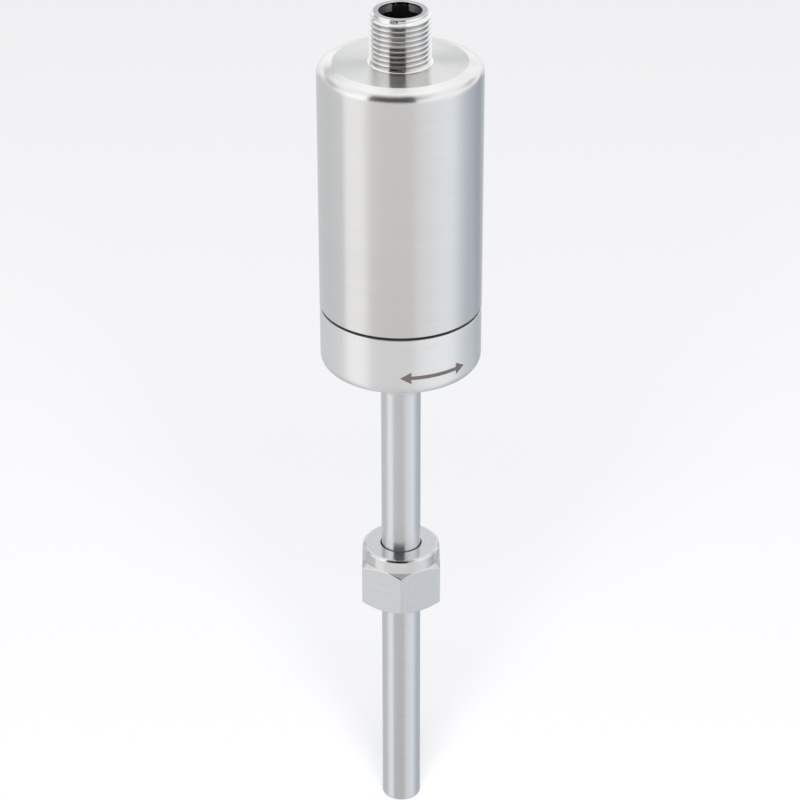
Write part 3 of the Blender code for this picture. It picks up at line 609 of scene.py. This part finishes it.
# %% Base ring
def blasted_steel(name, dark, light, roughness, anisotropy, metallic):
    """Turned steel under a fine even grain."""
    material, recipe, x, y, z, way = new_finish(name)
    grain = noise(recipe, x, y, z, 3.0)
    cloud = noise(recipe, x, y, z, 0.2)
    lines = grooves(recipe, x, y, way, 0.05, 4.0)
    tone = grain * 0.35 + cloud * 0.25 + lines * 0.4
    colour = recipe.blend(recipe.rise(tone, 0.35, 0.65), dark, light)
    rough = roughness + (grain - 0.5) * 0.06 + (cloud - 0.5) * 0.06
    finish_with(recipe, colour, rough, metallic, bump(recipe, grain, 0.012), **brushed(anisotropy))
    return material


base_steel = blasted_steel("blasted_base_steel", (0.88, 0.882, 0.885), (0.92, 0.922, 0.925),
                           roughness=0.30, anisotropy=0.85, metallic=0.80)

BASE_LOW, BASE_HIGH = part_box("base_flange")
SKIN_ROOM = 0.02 * MM
RING_RADIUS = BASE_HIGH.x - SKIN_ROOM
RING_BOTTOM = 55.6 * MM
SHOULDER = 67.9 * MM
SPIGOT_RADIUS = 13.9 * MM
SPIGOT_BORE = 9.0 * MM
SPIGOT_FLOOR = 69.4 * MM
NECK_RADIUS = 5.7 * MM
NECK_TAPER = 1.0 * MM
NECK_LIP = 4.25 * MM
NECK_BORE = 4.02 * MM
RING_EDGE = 2.0 * MM

base_corners = [
    (NECK_BORE, BASE_LOW.z), (NECK_LIP, BASE_LOW.z), (NECK_RADIUS, BASE_LOW.z + NECK_TAPER),
    (NECK_RADIUS, RING_BOTTOM), (RING_RADIUS, RING_BOTTOM), (RING_RADIUS, SHOULDER),
    (SPIGOT_RADIUS, SHOULDER), (SPIGOT_RADIUS, BASE_HIGH.z), (SPIGOT_BORE, BASE_HIGH.z),
    (SPIGOT_BORE, SPIGOT_FLOOR), (NECK_BORE, SPIGOT_FLOOR),
]
base_roundings = [0, 0.08 * MM, 0.4 * MM, 0.4 * MM, RING_EDGE, 0.12 * MM, 0, 0.4 * MM, 0.2 * MM, 0, 0]
base_profile = rounded(base_corners, base_roundings, steps=12)
add_piece("base_ring", [(carried(base_profile, even(ROUND_COLUMNS)), 0, True)], base_steel,
          "sensor", ["base_flange"])

# %% [markdown]
# ## The seam seal
# Between housing and base lies a black rubber ring. It shows as a thin dark line, set back a little.

# %% Plain finishes
def moulded(name, dark, light, roughness, grain=3.0, relief=0.15, coat=0.0):
    """Plastic or rubber: a speckle in colour and roughness, and a fine bump."""
    material, recipe, x, y, z, _ = new_finish(name)
    speckle = noise(recipe, x, y, z, grain, 3.0)
    cloud = noise(recipe, x, y, z, grain / 12)
    colour = recipe.blend(speckle * 0.6 + cloud * 0.4, dark, light)
    rough = roughness + (speckle - 0.5) * 0.12 + (cloud - 0.5) * 0.1
    constants = {"Coat Weight": coat, "Coat Roughness": 0.1}
    finish_with(recipe, colour, rough, 0.0, bump(recipe, speckle, relief, 0.02 * MM), **constants)
    return material


black_rubber = moulded("black_rubber_moulding", (0.005, 0.005, 0.005), (0.014, 0.014, 0.014),
                       roughness=0.75, grain=4.0)
SEAL_LOW, SEAL_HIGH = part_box("seam_seal")
SEAL_INNER = SPIGOT_RADIUS + 0.05 * MM
SEAL_ROUND = 0.15 * MM
SEAL_COLUMNS = 160

seal_corners = [(SEAL_INNER, SEAL_LOW.z), (SEAL_HIGH.x, SEAL_LOW.z),
                (SEAL_HIGH.x, SEAL_HIGH.z), (SEAL_INNER, SEAL_HIGH.z)]
seal_profile = rounded(seal_corners, [0, SEAL_ROUND, SEAL_ROUND, 0], steps=5)
add_piece("seam_ring", [(carried(seal_profile, even(SEAL_COLUMNS)), 0, True)], black_rubber,
          "sensor", ["seam_seal"])

# %% [markdown]
# ## The flow arrow
# A laser has darkened a double arrow into the base ring: water may flow either way past the probe. It
# could be a mask in the ring's shader, but a mask blurs when the finish is baked to an image. A skin
# a hundredth of a millimetre high keeps its edge. It is a strip whose half width depends on the way
# along it: growing over each head, narrow between them.

# %% Flow arrow
ARROW_START = math.radians(-0.7)
ARROW_SPAN = math.radians(51.0)
ARROW_LEVEL = 59.7 * MM
ARROW_HEAD = 2.25 * MM
HEAD_POINTS = 8
SHAFT_POINTS = 70
HEAD_HALF_WIDTH = 1.25 * MM
SHAFT_HALF_WIDTH = 0.39 * MM
ARROW_RADIUS = RING_RADIUS + 0.012 * MM
ARROW_FOOT = RING_RADIUS - 0.05 * MM


def arrow_points():
    """Row i is a cross-section at way s: angle s / radius, height level + v times the half width at s."""
    length = ARROW_SPAN * ARROW_RADIUS
    head = np.linspace(0, ARROW_HEAD, HEAD_POINTS)
    shaft = np.linspace(ARROW_HEAD, length - ARROW_HEAD, SHAFT_POINTS)
    way = np.concatenate([head, shaft, length - head[::-1]])
    grown = head / ARROW_HEAD * HEAD_HALF_WIDTH
    half = np.concatenate([grown, np.full(len(shaft), SHAFT_HALF_WIDTH), grown[::-1]])
    across = np.array([-1, -1 / 3, 1 / 3, 1, 1, 1 / 3, -1 / 3, -1])
    radius = np.repeat([ARROW_RADIUS, ARROW_FOOT], len(across) // 2)
    angle = (ARROW_START + way / ARROW_RADIUS)[:, None]
    height = ARROW_LEVEL + half[:, None] * across
    return np.stack([radius * np.sin(angle), -radius * np.cos(angle), height], axis=-1)


def laser_mark(name):
    """The brownish grey oxide that a laser leaves, slightly uneven."""
    material, recipe, x, y, z, _ = new_finish(name)
    speckle = noise(recipe, x, y, z, 5.0, 3.0)
    colour = recipe.blend(speckle, (0.150, 0.122, 0.112), (0.215, 0.18, 0.165))
    rough = 0.5 + (speckle - 0.5) * 0.15
    finish_with(recipe, colour, rough, metallic=0.25, normal=bump(recipe, speckle, 0.2))
    return material


add_piece("flow_arrow", [(arrow_points(), 0, False)], laser_mark("laser_mark"), "sensor")

# %% [markdown]
# ## The threaded connector
# The plug connector is a sleeve with a fine screw thread, one turn to the millimetre. Rings stacked
# one over the other would look almost right from afar, but a thread climbs, and it has to run out at
# its foot and into the rim's chamfer. So each row of its grid follows the screw line, and whatever
# would lie below the foot or past the rim is pressed onto it.

# %% Screw thread surface
PITCH = 1.0 * MM
FLANK = math.tan(math.radians(60))
EASE = 0.02
EASE_GUARD = 0.012
SPARE_TURNS = 5
TURNS_BELOW = 3
SAME = 1e-6


def thread_section(depth, crest):
    """Shares of a pitch and the drop below the crest there.

    The drop is the distance past the crest's edge times the flank's slope, held between 0 and the depth.
    Near both ends of a flank it is eased over a short way, which rounds the crest and the root. One more
    share beside each round keeps the flank flat when the normals are smoothed.
    """
    half_crest = crest / 2
    flank_end = half_crest + depth / PITCH / FLANK
    knots = np.array([0, half_crest - EASE, half_crest, half_crest + EASE, half_crest + EASE + EASE_GUARD,
                      flank_end - EASE - EASE_GUARD, flank_end - EASE, flank_end, flank_end + EASE])
    share = np.concatenate([knots, 1 - knots[:0:-1]])
    away = np.minimum(share, 1 - share)
    straight = np.clip((away - half_crest) * FLANK * PITCH, 0, depth)
    soft = EASE * FLANK * PITCH / 4
    drop = straight + soft * (np.abs(away - half_crest) < SAME) - soft * (np.abs(away - flank_end) < SAME)
    return share, drop


def thread_rows(section, outer, low, high, first_crest, angles, side, ends):
    """Radius and height of every row of a screw surface between two levels.

    Row (turn, share) starts at first_crest + pitch (turn + share) and climbs pitch angle / 360 degrees.
    Its radius is the outer one less the section's drop, or plus it on the inside of a nut (side = 1).
    Spare turns below and above make sure that both ends are covered all the way round.
    """
    share, drop = section
    turns = int((high - low) / PITCH) + SPARE_TURNS
    way = (np.arange(turns)[:, None] - TURNS_BELOW + share).ravel()
    height = first_crest + PITCH * (way[:, None] + angles / TURN)
    radius = np.broadcast_to((outer + side * np.tile(drop, turns))[:, None], height.shape).copy()
    radius = np.where(height <= low, ends[0], np.where(height >= high, ends[1], radius))
    return np.stack([radius, np.clip(height, low, high)], axis=-1), len(share)


connector_section = thread_section(depth=0.69 * MM, crest=0.14)
print("rows for one pitch of thread:", len(connector_section[0]))

# %% [markdown]
# The crests keep the steel's bright colour. Painted shade darkens the grooves between them a little, and
# their roots the most. The depth of a point is its distance from the axis, so masks on the radius tell
# them apart. They stop at the rim, whose chamfer lies just as near the axis but is bright.

# %% Thread finish
# Radii and heights in millimetres, as the shader has them
GROOVE_DEEP = 5.55
GROOVE_EDGE = 5.90
ROOT_DEEP = 5.32
ROOT_EDGE = 5.52
CHAMFER_START = 0.85
CHAMFER_EASE = 0.1
# Greys of the painted shade in the grooves and, darker, at the roots
GROOVE_SHADE_GREY = (0.75, 0.74, 0.73)
ROOT_SHADE_GREY = (0.58, 0.565, 0.55)


def thread_finish(name, rim_height):
    """Bright crests, with painted shade that darkens the grooves and the roots most: each share grows from
    its edge inwards.
    """
    material, recipe, x, y, z, way = new_finish(name)
    radius = z - way
    chamfer = rim_height / MM - CHAMFER_START
    below_rim = 1 - recipe.rise(z, chamfer - CHAMFER_EASE, chamfer + CHAMFER_EASE)
    # Masks of the painted shade: the grooves a little darker, the roots darkest
    groove = (1 - recipe.rise(radius, GROOVE_DEEP, GROOVE_EDGE)) * below_rim
    root = (1 - recipe.rise(radius, ROOT_DEEP, ROOT_EDGE)) * below_rim
    fine = grooves(recipe, x, y, z, 0.3, 6.0, 3.0)
    bright = recipe.blend(fine, (0.91, 0.905, 0.90), (0.95, 0.945, 0.94))
    colour = recipe.blend(root, recipe.blend(groove, bright, GROOVE_SHADE_GREY), ROOT_SHADE_GREY)
    rough = 0.05 + groove * 0.04 + fine * 0.02
    finish_with(recipe, colour, rough, 1.0, bump(recipe, fine, 0.02), **brushed(0.3))
    return material


# %% [markdown]
# The thread ends a little above the top face, on a small cone. The cone mirrors the light past the thread
# and shows as a thin bright line round the connector's foot.

# %% Connector shell
SHELL_LOW, SHELL_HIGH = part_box("connector_shell")
thread_steel = thread_finish("cut_thread_steel", SHELL_HIGH.z)
THREAD_RADIUS = 5.98 * MM
THREAD_FOOT = TOP_LEVEL + 0.30 * MM
FOOT_RADIUS = 5.88 * MM
CONE_TOP_RADIUS = 5.90 * MM
CONE_RADIUS = 6.30 * MM
CONE_SUNK = TOP_LEVEL - 0.05 * MM
RIM_RADIUS = 5.2 * MM
FIRST_CREST = HOUSING_HIGH.z + 0.43 * MM
MOUTH_RADIUS = 4.2 * MM
MOUTH_LIP = 0.6 * MM
SHELL_BORE = 4.75 * MM
SHANK_RADIUS = 5.1 * MM
RIM_ROUND = 0.15 * MM
THREAD_COLUMNS = 192

shell_angles = even(THREAD_COLUMNS)
rim_edge = SHELL_HIGH.z - RIM_ROUND
thread, climb = thread_rows(connector_section, THREAD_RADIUS, THREAD_FOOT, rim_edge, FIRST_CREST,
                            shell_angles, -1, (FOOT_RADIUS, RIM_RADIUS + RIM_ROUND))
thread[..., 0] = np.minimum(thread[..., 0], RIM_RADIUS + SHELL_HIGH.z - thread[..., 1])
sleeve_corners = [
    (RIM_RADIUS + RIM_ROUND, rim_edge), (RIM_RADIUS, SHELL_HIGH.z), (MOUTH_RADIUS, SHELL_HIGH.z),
    (MOUTH_RADIUS, SHELL_HIGH.z - MOUTH_LIP), (SHELL_BORE, SHELL_HIGH.z - MOUTH_LIP),
    (SHELL_BORE, SHELL_LOW.z), (SHANK_RADIUS, SHELL_LOW.z), (SHANK_RADIUS, CONE_SUNK),
    (CONE_RADIUS, CONE_SUNK), (CONE_RADIUS, TOP_LEVEL), (CONE_TOP_RADIUS, THREAD_FOOT),
    (FOOT_RADIUS, THREAD_FOOT),
]
sleeve_roundings = [0, 0.1 * MM, 0.06 * MM, 0.1 * MM] + [0] * 8
sleeve_profile = rounded(sleeve_corners, sleeve_roundings, steps=6)
add_piece("connector_sleeve", [(carried(thread, shell_angles), climb, False),
                               (carried(sleeve_profile, shell_angles), 0, False)],
          thread_steel, "sensor", ["connector_shell"])

# %% [markdown]
# ## Insert and pins
# A black plastic insert lines the connector's mouth. A key rib inside it lets a plug in only one way,
# and four gold-plated pins stand on its floor. The rib is part of the insert's surface: near the angle of
# the rib the socket's radius is smaller.

# %% Contact insert
black_plastic = moulded("glossy_black_plastic", (0.003, 0.0025, 0.003), (0.009, 0.008, 0.009),
                        roughness=0.3, grain=2.0, relief=0.08, coat=0.3)
CARRIER_LOW, CARRIER_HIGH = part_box("contact_carrier")
SOCKET_OUTER = 4.65 * MM
SOCKET_INNER = 4.25 * MM
SOCKET_FLOOR = SHELL_HIGH.z - 9.0 * MM
KEY_HALF_WIDTH = 0.45 * MM
KEY_MIDDLE_RADIUS = 4.0 * MM
KEY_HALF_ANGLE = math.atan(KEY_HALF_WIDTH / KEY_MIDDLE_RADIUS)
KEY_HEIGHT = 0.6 * MM
KEY_EASE = math.radians(1.2)
KEY_COLUMNS = 15
SOCKET_COLUMNS = 110

key_end = KEY_HALF_ANGLE + KEY_EASE
key_angles = np.linspace(-key_end, key_end, KEY_COLUMNS)
plain_angles = np.linspace(key_end, TURN - key_end, SOCKET_COLUMNS)[1:-1]
insert_angles = np.concatenate([key_angles, plain_angles])
from_key = np.abs((insert_angles + math.pi) % TURN - math.pi)
inner_radius = SOCKET_INNER - KEY_HEIGHT * np.clip((key_end - from_key) / KEY_EASE, 0, 1)
insert_corners = all_round(insert_angles, [
    (0, CARRIER_LOW.z), (SOCKET_OUTER, CARRIER_LOW.z), (SOCKET_OUTER, CARRIER_HIGH.z),
    (inner_radius, CARRIER_HIGH.z), (inner_radius, SOCKET_FLOOR), (0, SOCKET_FLOOR),
])
insert_profile = rounded(insert_corners, [0, 0.2 * MM, 0.05 * MM, 0.1 * MM, 0.2 * MM, 0], steps=5)
add_piece("plug_insert", [(carried(insert_profile, insert_angles), 0, False)], black_plastic,
          "sensor", ["contact_carrier"])

# %% [markdown]
# The first millimetres of the mouth are bare metal, turned like the housing. Its grooves spread what they
# mirror up and down, so the two sides of the wall glow softly. At the back the lining is cut away for the
# plug's rib, and the black insert shows. The slot is no hole in the mesh: there the lining's inner radius
# grows to its outer one, which lies hidden in the insert.

# %% Mouth lining
bore_steel = turned_steel("turned_bore_steel", (0.74, 0.73, 0.75), (0.84, 0.83, 0.85),
                          roughness=0.30, anisotropy=0.85, groove=6.0, metallic=1.0)
LINING_DEPTH = 1.8 * MM
LINING_WALL = 0.2 * MM
LINING_BACK = MOUTH_RADIUS + LINING_WALL * 1.1
LINING_TOP = SHELL_HIGH.z - MOUTH_LIP / 2
LINING_FOOT = SHELL_HIGH.z - LINING_DEPTH
LINING_COLUMNS = 180
SLOT_HALF_ANGLE = math.radians(20)
SLOT_EASE = math.radians(2)

lining_angles = even(LINING_COLUMNS)
from_back = np.abs(lining_angles - math.pi)
slot = np.clip((SLOT_HALF_ANGLE + SLOT_EASE - from_back) / SLOT_EASE, 0, 1)
lining_radius = MOUTH_RADIUS + slot * LINING_WALL
lining_corners = all_round(lining_angles, [
    (lining_radius, LINING_TOP), (lining_radius, LINING_FOOT),
    (LINING_BACK, LINING_FOOT), (LINING_BACK, LINING_TOP),
])
lining_profile = rounded(lining_corners, [0, 0.01 * MM, 0, 0], steps=3)
add_piece("mouth_lining", [(carried(lining_profile, lining_angles), 0, True)], bore_steel,
          "sensor")

# %% Contact pins
def gold_finish(name):
    """Thin gold over brass, with faint rings from turning."""
    material, recipe, x, y, z, _ = new_finish(name)
    rings = grooves(recipe, x, y, z, 0.2, 6.0)
    colour = recipe.blend(rings, (0.78, 0.55, 0.20), (0.88, 0.68, 0.30))
    finish_with(recipe, colour, 0.22 + (rings - 0.5) * 0.1, 1.0, bump(recipe, rings, 0.1))
    return material


PIN_LOW, PIN_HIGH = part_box("contact_pin_1")
PIN_RADIUS = 0.5 * MM
PIN_CIRCLE = 2.5 * MM
PIN_FOOT_ROUND = 0.1 * MM
PIN_TIP_ROUND = 0.42 * MM
PIN_COLUMNS = 28

pin_corners = [(0, PIN_LOW.z), (PIN_RADIUS, PIN_LOW.z), (PIN_RADIUS, PIN_HIGH.z), (0, PIN_HIGH.z)]
pin_profile = rounded(pin_corners, [0, PIN_FOOT_ROUND, PIN_TIP_ROUND, 0], steps=8)
pin = carried(pin_profile, even(PIN_COLUMNS))
pin_places = [np.array((math.sin(turn), -math.cos(turn), 0)) * PIN_CIRCLE for turn in math.pi / 4 + even(4)]
add_piece("plug_pins", [(pin + place, 0, False) for place in pin_places], gold_finish("gold_plated_brass"),
          "sensor", [f"contact_pin_{number}" for number in (1, 2, 3, 4)])

# %% [markdown]
# ## The probe
# The probe is a drawn tube with a welded and rounded tip. Its profile starts on the axis under the tip,
# runs up outside and comes back down inside, so that the tube keeps its wall.

# %% Probe
PROBE_LOW, PROBE_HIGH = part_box("probe_sleeve")
PROBE_RADIUS = PROBE_HIGH.x
PROBE_BORE = 3.4 * MM
TIP_FLOOR = PROBE_LOW.z + 1.0 * MM
TIP_ROUND = 0.55 * MM
PROBE_COLUMNS = 128

probe_corners = [(0, PROBE_LOW.z), (PROBE_RADIUS, PROBE_LOW.z), (PROBE_RADIUS, PROBE_HIGH.z),
                 (PROBE_BORE, PROBE_HIGH.z), (PROBE_BORE, TIP_FLOOR), (0, TIP_FLOOR)]
probe_profile = rounded(probe_corners, [0, TIP_ROUND, 0.1 * MM, 0.1 * MM, 0.3 * MM, 0], steps=8)
add_piece("probe_tube", [(carried(probe_profile, even(PROBE_COLUMNS)), 0, False)], probe_steel,
          "sensor", ["probe_sleeve"])

# %% [markdown]
# ## The union nut
# The nut is a hexagon whose ends were turned: a round shoulder above, and a cone that cuts the corners
# of the hexagon. Where the cone meets a flat, the edge is a curve that rises to the middle of the flat.
# A boolean would give it as a jagged line. Here each direction has its own profile, with the corner of
# cone and flat at that direction's own height, so that the curve falls out by itself. The shoulder is
# brighter than the milled flats, and its top edge falls away in two steps.

# %% Union nut
SHOULDER_GREY = (0.80, 0.80, 0.80)


def machined_steel(name, dark, light, roughness, turned_from, turned_to):
    """Milled steel with a faint mottle, and a brighter turned shoulder between two heights."""
    material, recipe, x, y, z, way = new_finish(name)
    mottle = noise(recipe, x, y, z, 1.6, 3.0)
    lines = grooves(recipe, x, y, way, 0.1, 3.0)
    milled = recipe.blend(recipe.rise(mottle * 0.6 + lines * 0.4, 0.3, 0.7), dark, light)
    above_foot = recipe.rise(z, turned_from - 0.1, turned_from)
    under_edge = 1 - recipe.rise(z, turned_to - 0.3, turned_to - 0.1)
    colour = recipe.blend(above_foot * under_edge, milled, SHOULDER_GREY)
    rough = roughness + (mottle - 0.5) * 0.04
    finish_with(recipe, colour, rough, 1.0, bump(recipe, mottle, 0.05, 0.02 * MM))
    return material


NUT_LOW, NUT_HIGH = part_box("union_nut")
NUT_FLAT = NUT_HIGH.x
NUT_CORNER_ROUND = 0.15 * MM
SHOULDER_RADIUS = NUT_FLAT - 0.1 * MM
SHOULDER_FOOT = NUT_HIGH.z - 2.9 * MM
nut_steel = machined_steel("machined_nut_steel", (0.67, 0.68, 0.69), (0.71, 0.72, 0.73), 0.15,
                           SHOULDER_FOOT / MM, NUT_HIGH.z / MM)
FIRST_STEP_IN = 0.60 * MM
SECOND_STEP_IN = 0.30 * MM
FIRST_STEP_DROP = 0.10 * MM
SECOND_STEP_DROP = 0.42 * MM
NUT_FACE = NUT_FLAT - 0.15 * MM
CONE_SLOPE = math.tan(math.radians(30))
NUT_BORE = 4.25 * MM
NUT_THREAD = 6.0 * MM
SEAT_TOP = NUT_HIGH.z - 2.6 * MM
SEAT_FOOT = SEAT_TOP - (NUT_THREAD - NUT_BORE)
NUT_THREAD_TOP = 7.4 * MM
NUT_FIRST_CREST = 1.0 * MM
LEAD_IN = 0.55 * MM
HALF_SIDE = math.pi / 6
FLAT_COLUMNS = 18
CORNER_COLUMNS = 7

corner_centre = (NUT_FLAT - NUT_CORNER_ROUND) / math.cos(HALF_SIDE)
round_half = math.atan2(NUT_CORNER_ROUND / 2, corner_centre + NUT_CORNER_ROUND * math.cos(HALF_SIDE))
flat_part = np.linspace(-HALF_SIDE, -1.5 * round_half, FLAT_COLUMNS, endpoint=False)
round_part = np.linspace(-round_half, round_half, CORNER_COLUMNS)
from_corner = np.concatenate([flat_part, round_part, -flat_part[:0:-1]])
nut_angles = (np.arange(6)[:, None] * math.pi / 3 + from_corner).ravel()
away = np.tile(from_corner, 6)
on_flat = NUT_FLAT / np.cos(HALF_SIDE - np.abs(away))
inside_round = np.maximum(NUT_CORNER_ROUND ** 2 - (corner_centre * np.sin(away)) ** 2, 0)
on_round = corner_centre * np.cos(away) + np.sqrt(inside_round)
hexagon = np.where(np.abs(away) <= round_half * 1.001, on_round, on_flat)
nut_corners = all_round(nut_angles, [
    (NUT_THREAD, NUT_THREAD_TOP), (NUT_THREAD, SEAT_FOOT), (NUT_BORE, SEAT_TOP), (NUT_BORE, NUT_HIGH.z),
    (SHOULDER_RADIUS - FIRST_STEP_IN, NUT_HIGH.z),
    (SHOULDER_RADIUS - SECOND_STEP_IN, NUT_HIGH.z - FIRST_STEP_DROP),
    (SHOULDER_RADIUS, NUT_HIGH.z - SECOND_STEP_DROP), (SHOULDER_RADIUS, SHOULDER_FOOT),
    (hexagon, SHOULDER_FOOT - (hexagon - SHOULDER_RADIUS) * CONE_SLOPE),
    (hexagon, NUT_LOW.z + (hexagon - NUT_FACE) * CONE_SLOPE), (NUT_FACE, NUT_LOW.z),
    (NUT_THREAD + LEAD_IN, NUT_LOW.z), (NUT_THREAD, NUT_LOW.z + LEAD_IN),
])
nut_roundings = [0, 0, 0.1 * MM, 0.08 * MM, 0.15 * MM, 0.08 * MM, 0.05 * MM, 0,
                 0.4 * MM, 0.1 * MM, 0.05 * MM, 0.05 * MM, 0]
nut_profile = rounded(nut_corners, nut_roundings, steps=6)
nut_section = thread_section(depth=0.45 * MM, crest=0.2)
nut_thread, nut_climb = thread_rows(nut_section, NUT_THREAD, NUT_LOW.z + LEAD_IN, NUT_THREAD_TOP,
                                    NUT_FIRST_CREST, nut_angles, 1, (NUT_THREAD, NUT_THREAD))
add_piece("fitting_nut", [(carried(nut_profile, nut_angles), 0, False),
                          (carried(nut_thread, nut_angles), nut_climb, False)],
          nut_steel, "nut", ["union_nut"])

# %% [markdown]
# ## The ferrules
# Two rings inside the nut bite into the probe when the fitting is tightened. They can be seen only
# from below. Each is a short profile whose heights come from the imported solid's box.

# %% Ferrules
FERRULE_BORE = PROBE_RADIUS + 0.15 * MM
FERRULE_OUTER = 5.5 * MM
FERRULE_ROUND = 0.04 * MM
FERRULE_COLUMNS = 128
FRONT_NOSE = 0.35 * MM
FRONT_COLLAR = 0.9 * MM
BACK_NOSE = 0.3 * MM
FRONT_LOW, FRONT_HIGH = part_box("front_ferrule")
BACK_LOW, BACK_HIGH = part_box("back_ferrule")
CONE_START = BACK_HIGH.z + FERRULE_BORE + BACK_NOSE

front_corners = [(FERRULE_BORE, FRONT_LOW.z), (FERRULE_BORE + FRONT_NOSE, FRONT_LOW.z),
                 (FERRULE_OUTER, FRONT_HIGH.z - FRONT_COLLAR), (FERRULE_OUTER, FRONT_HIGH.z),
                 (FERRULE_BORE, FRONT_HIGH.z)]
back_corners = [(FERRULE_BORE, BACK_LOW.z), (FERRULE_OUTER, BACK_LOW.z),
                (FERRULE_OUTER, CONE_START - FERRULE_OUTER), (FERRULE_BORE + BACK_NOSE, BACK_HIGH.z),
                (FERRULE_BORE, BACK_HIGH.z)]
for ring_name, node, corners in (("front_ring", "front_ferrule", front_corners),
                                 ("back_ring", "back_ferrule", back_corners)):
    ring_profile = rounded(corners, [FERRULE_ROUND] * len(corners), steps=4)
    ring = carried(ring_profile, even(FERRULE_COLUMNS))
    add_piece(ring_name, [(ring, 0, True)], nut_steel, "ferrules", [node])

# %% [markdown]
# ## What is inside
# The boards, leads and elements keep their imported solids, which nobody sees while the sensor is closed.
# They still get real finishes, because the part may be shown cut open. A board has copper tracks under
# green lacquer, cans are drawn aluminium, and the strip in the probe's tip is a white ceramic.

# %% Inner finishes
def circuit_board(name):
    """Green lacquer that is lighter over the tracks, which are cells of a stretched pattern."""
    material, recipe, x, y, z, _ = new_finish(name)
    tracks = recipe.node("ShaderNodeTexVoronoi", {"feature": "DISTANCE_TO_EDGE"},
                         {"Vector": recipe.joined(x * 0.5, y * 0.5, z * 0.35), "Scale": 1.0})
    weave = noise(recipe, x, y, z, 4.0)
    over_track = 1 - recipe.rise(tracks, 0.05, 0.09)
    colour = recipe.blend(over_track * 0.8 + weave * 0.2, (0.015, 0.10, 0.04), (0.04, 0.22, 0.09))
    finish_with(recipe, colour, 0.35 + weave * 0.15, 0.0, bump(recipe, over_track, 0.3, 0.04 * MM))
    return material


def drawn_can(name):
    """Aluminium with rings from drawing."""
    material, recipe, x, y, z, _ = new_finish(name)
    rings = noise(recipe, x * 0.2, y * 5.0, z * 0.2, 1.0)
    colour = recipe.blend(rings, (0.62, 0.62, 0.64), (0.76, 0.76, 0.78))
    finish_with(recipe, colour, 0.3 + rings * 0.12, 1.0, bump(recipe, rings, 0.1))
    return material


inner_finishes = {
    "board_green": circuit_board("lacquered_board"),
    "can_silver": drawn_can("drawn_aluminium"),
    "holder_plastic": moulded("grey_holder_plastic", (0.16, 0.17, 0.18), (0.23, 0.24, 0.25), 0.5),
    "chip_black": moulded("moulded_chip", (0.022, 0.022, 0.024), (0.042, 0.042, 0.044), 0.5, 6.0),
    "element_white": moulded("unglazed_ceramic", (0.74, 0.73, 0.69), (0.84, 0.83, 0.79), 0.5, 5.0),
    "lead_jacket": moulded("lead_jacket", (0.46, 0.06, 0.04), (0.58, 0.09, 0.055), 0.45, 2.0),
    "black_rubber": black_rubber,
    "black_plastic": black_plastic,
    "nut_steel": nut_steel,
    "turned_steel": housing_steel,
}
slot_of = {row["node"]: row["material_slot"] for row in frame["record"]["subparts"]}
dressed = 0
for node, thing in frame["nodes"].items():
    if not thing.hide_render:
        thing.data.materials.clear()
        thing.data.materials.append(inner_finishes[slot_of[node]])
        dressed += 1
print(dressed, "packed solids keep their shape and get a finish")
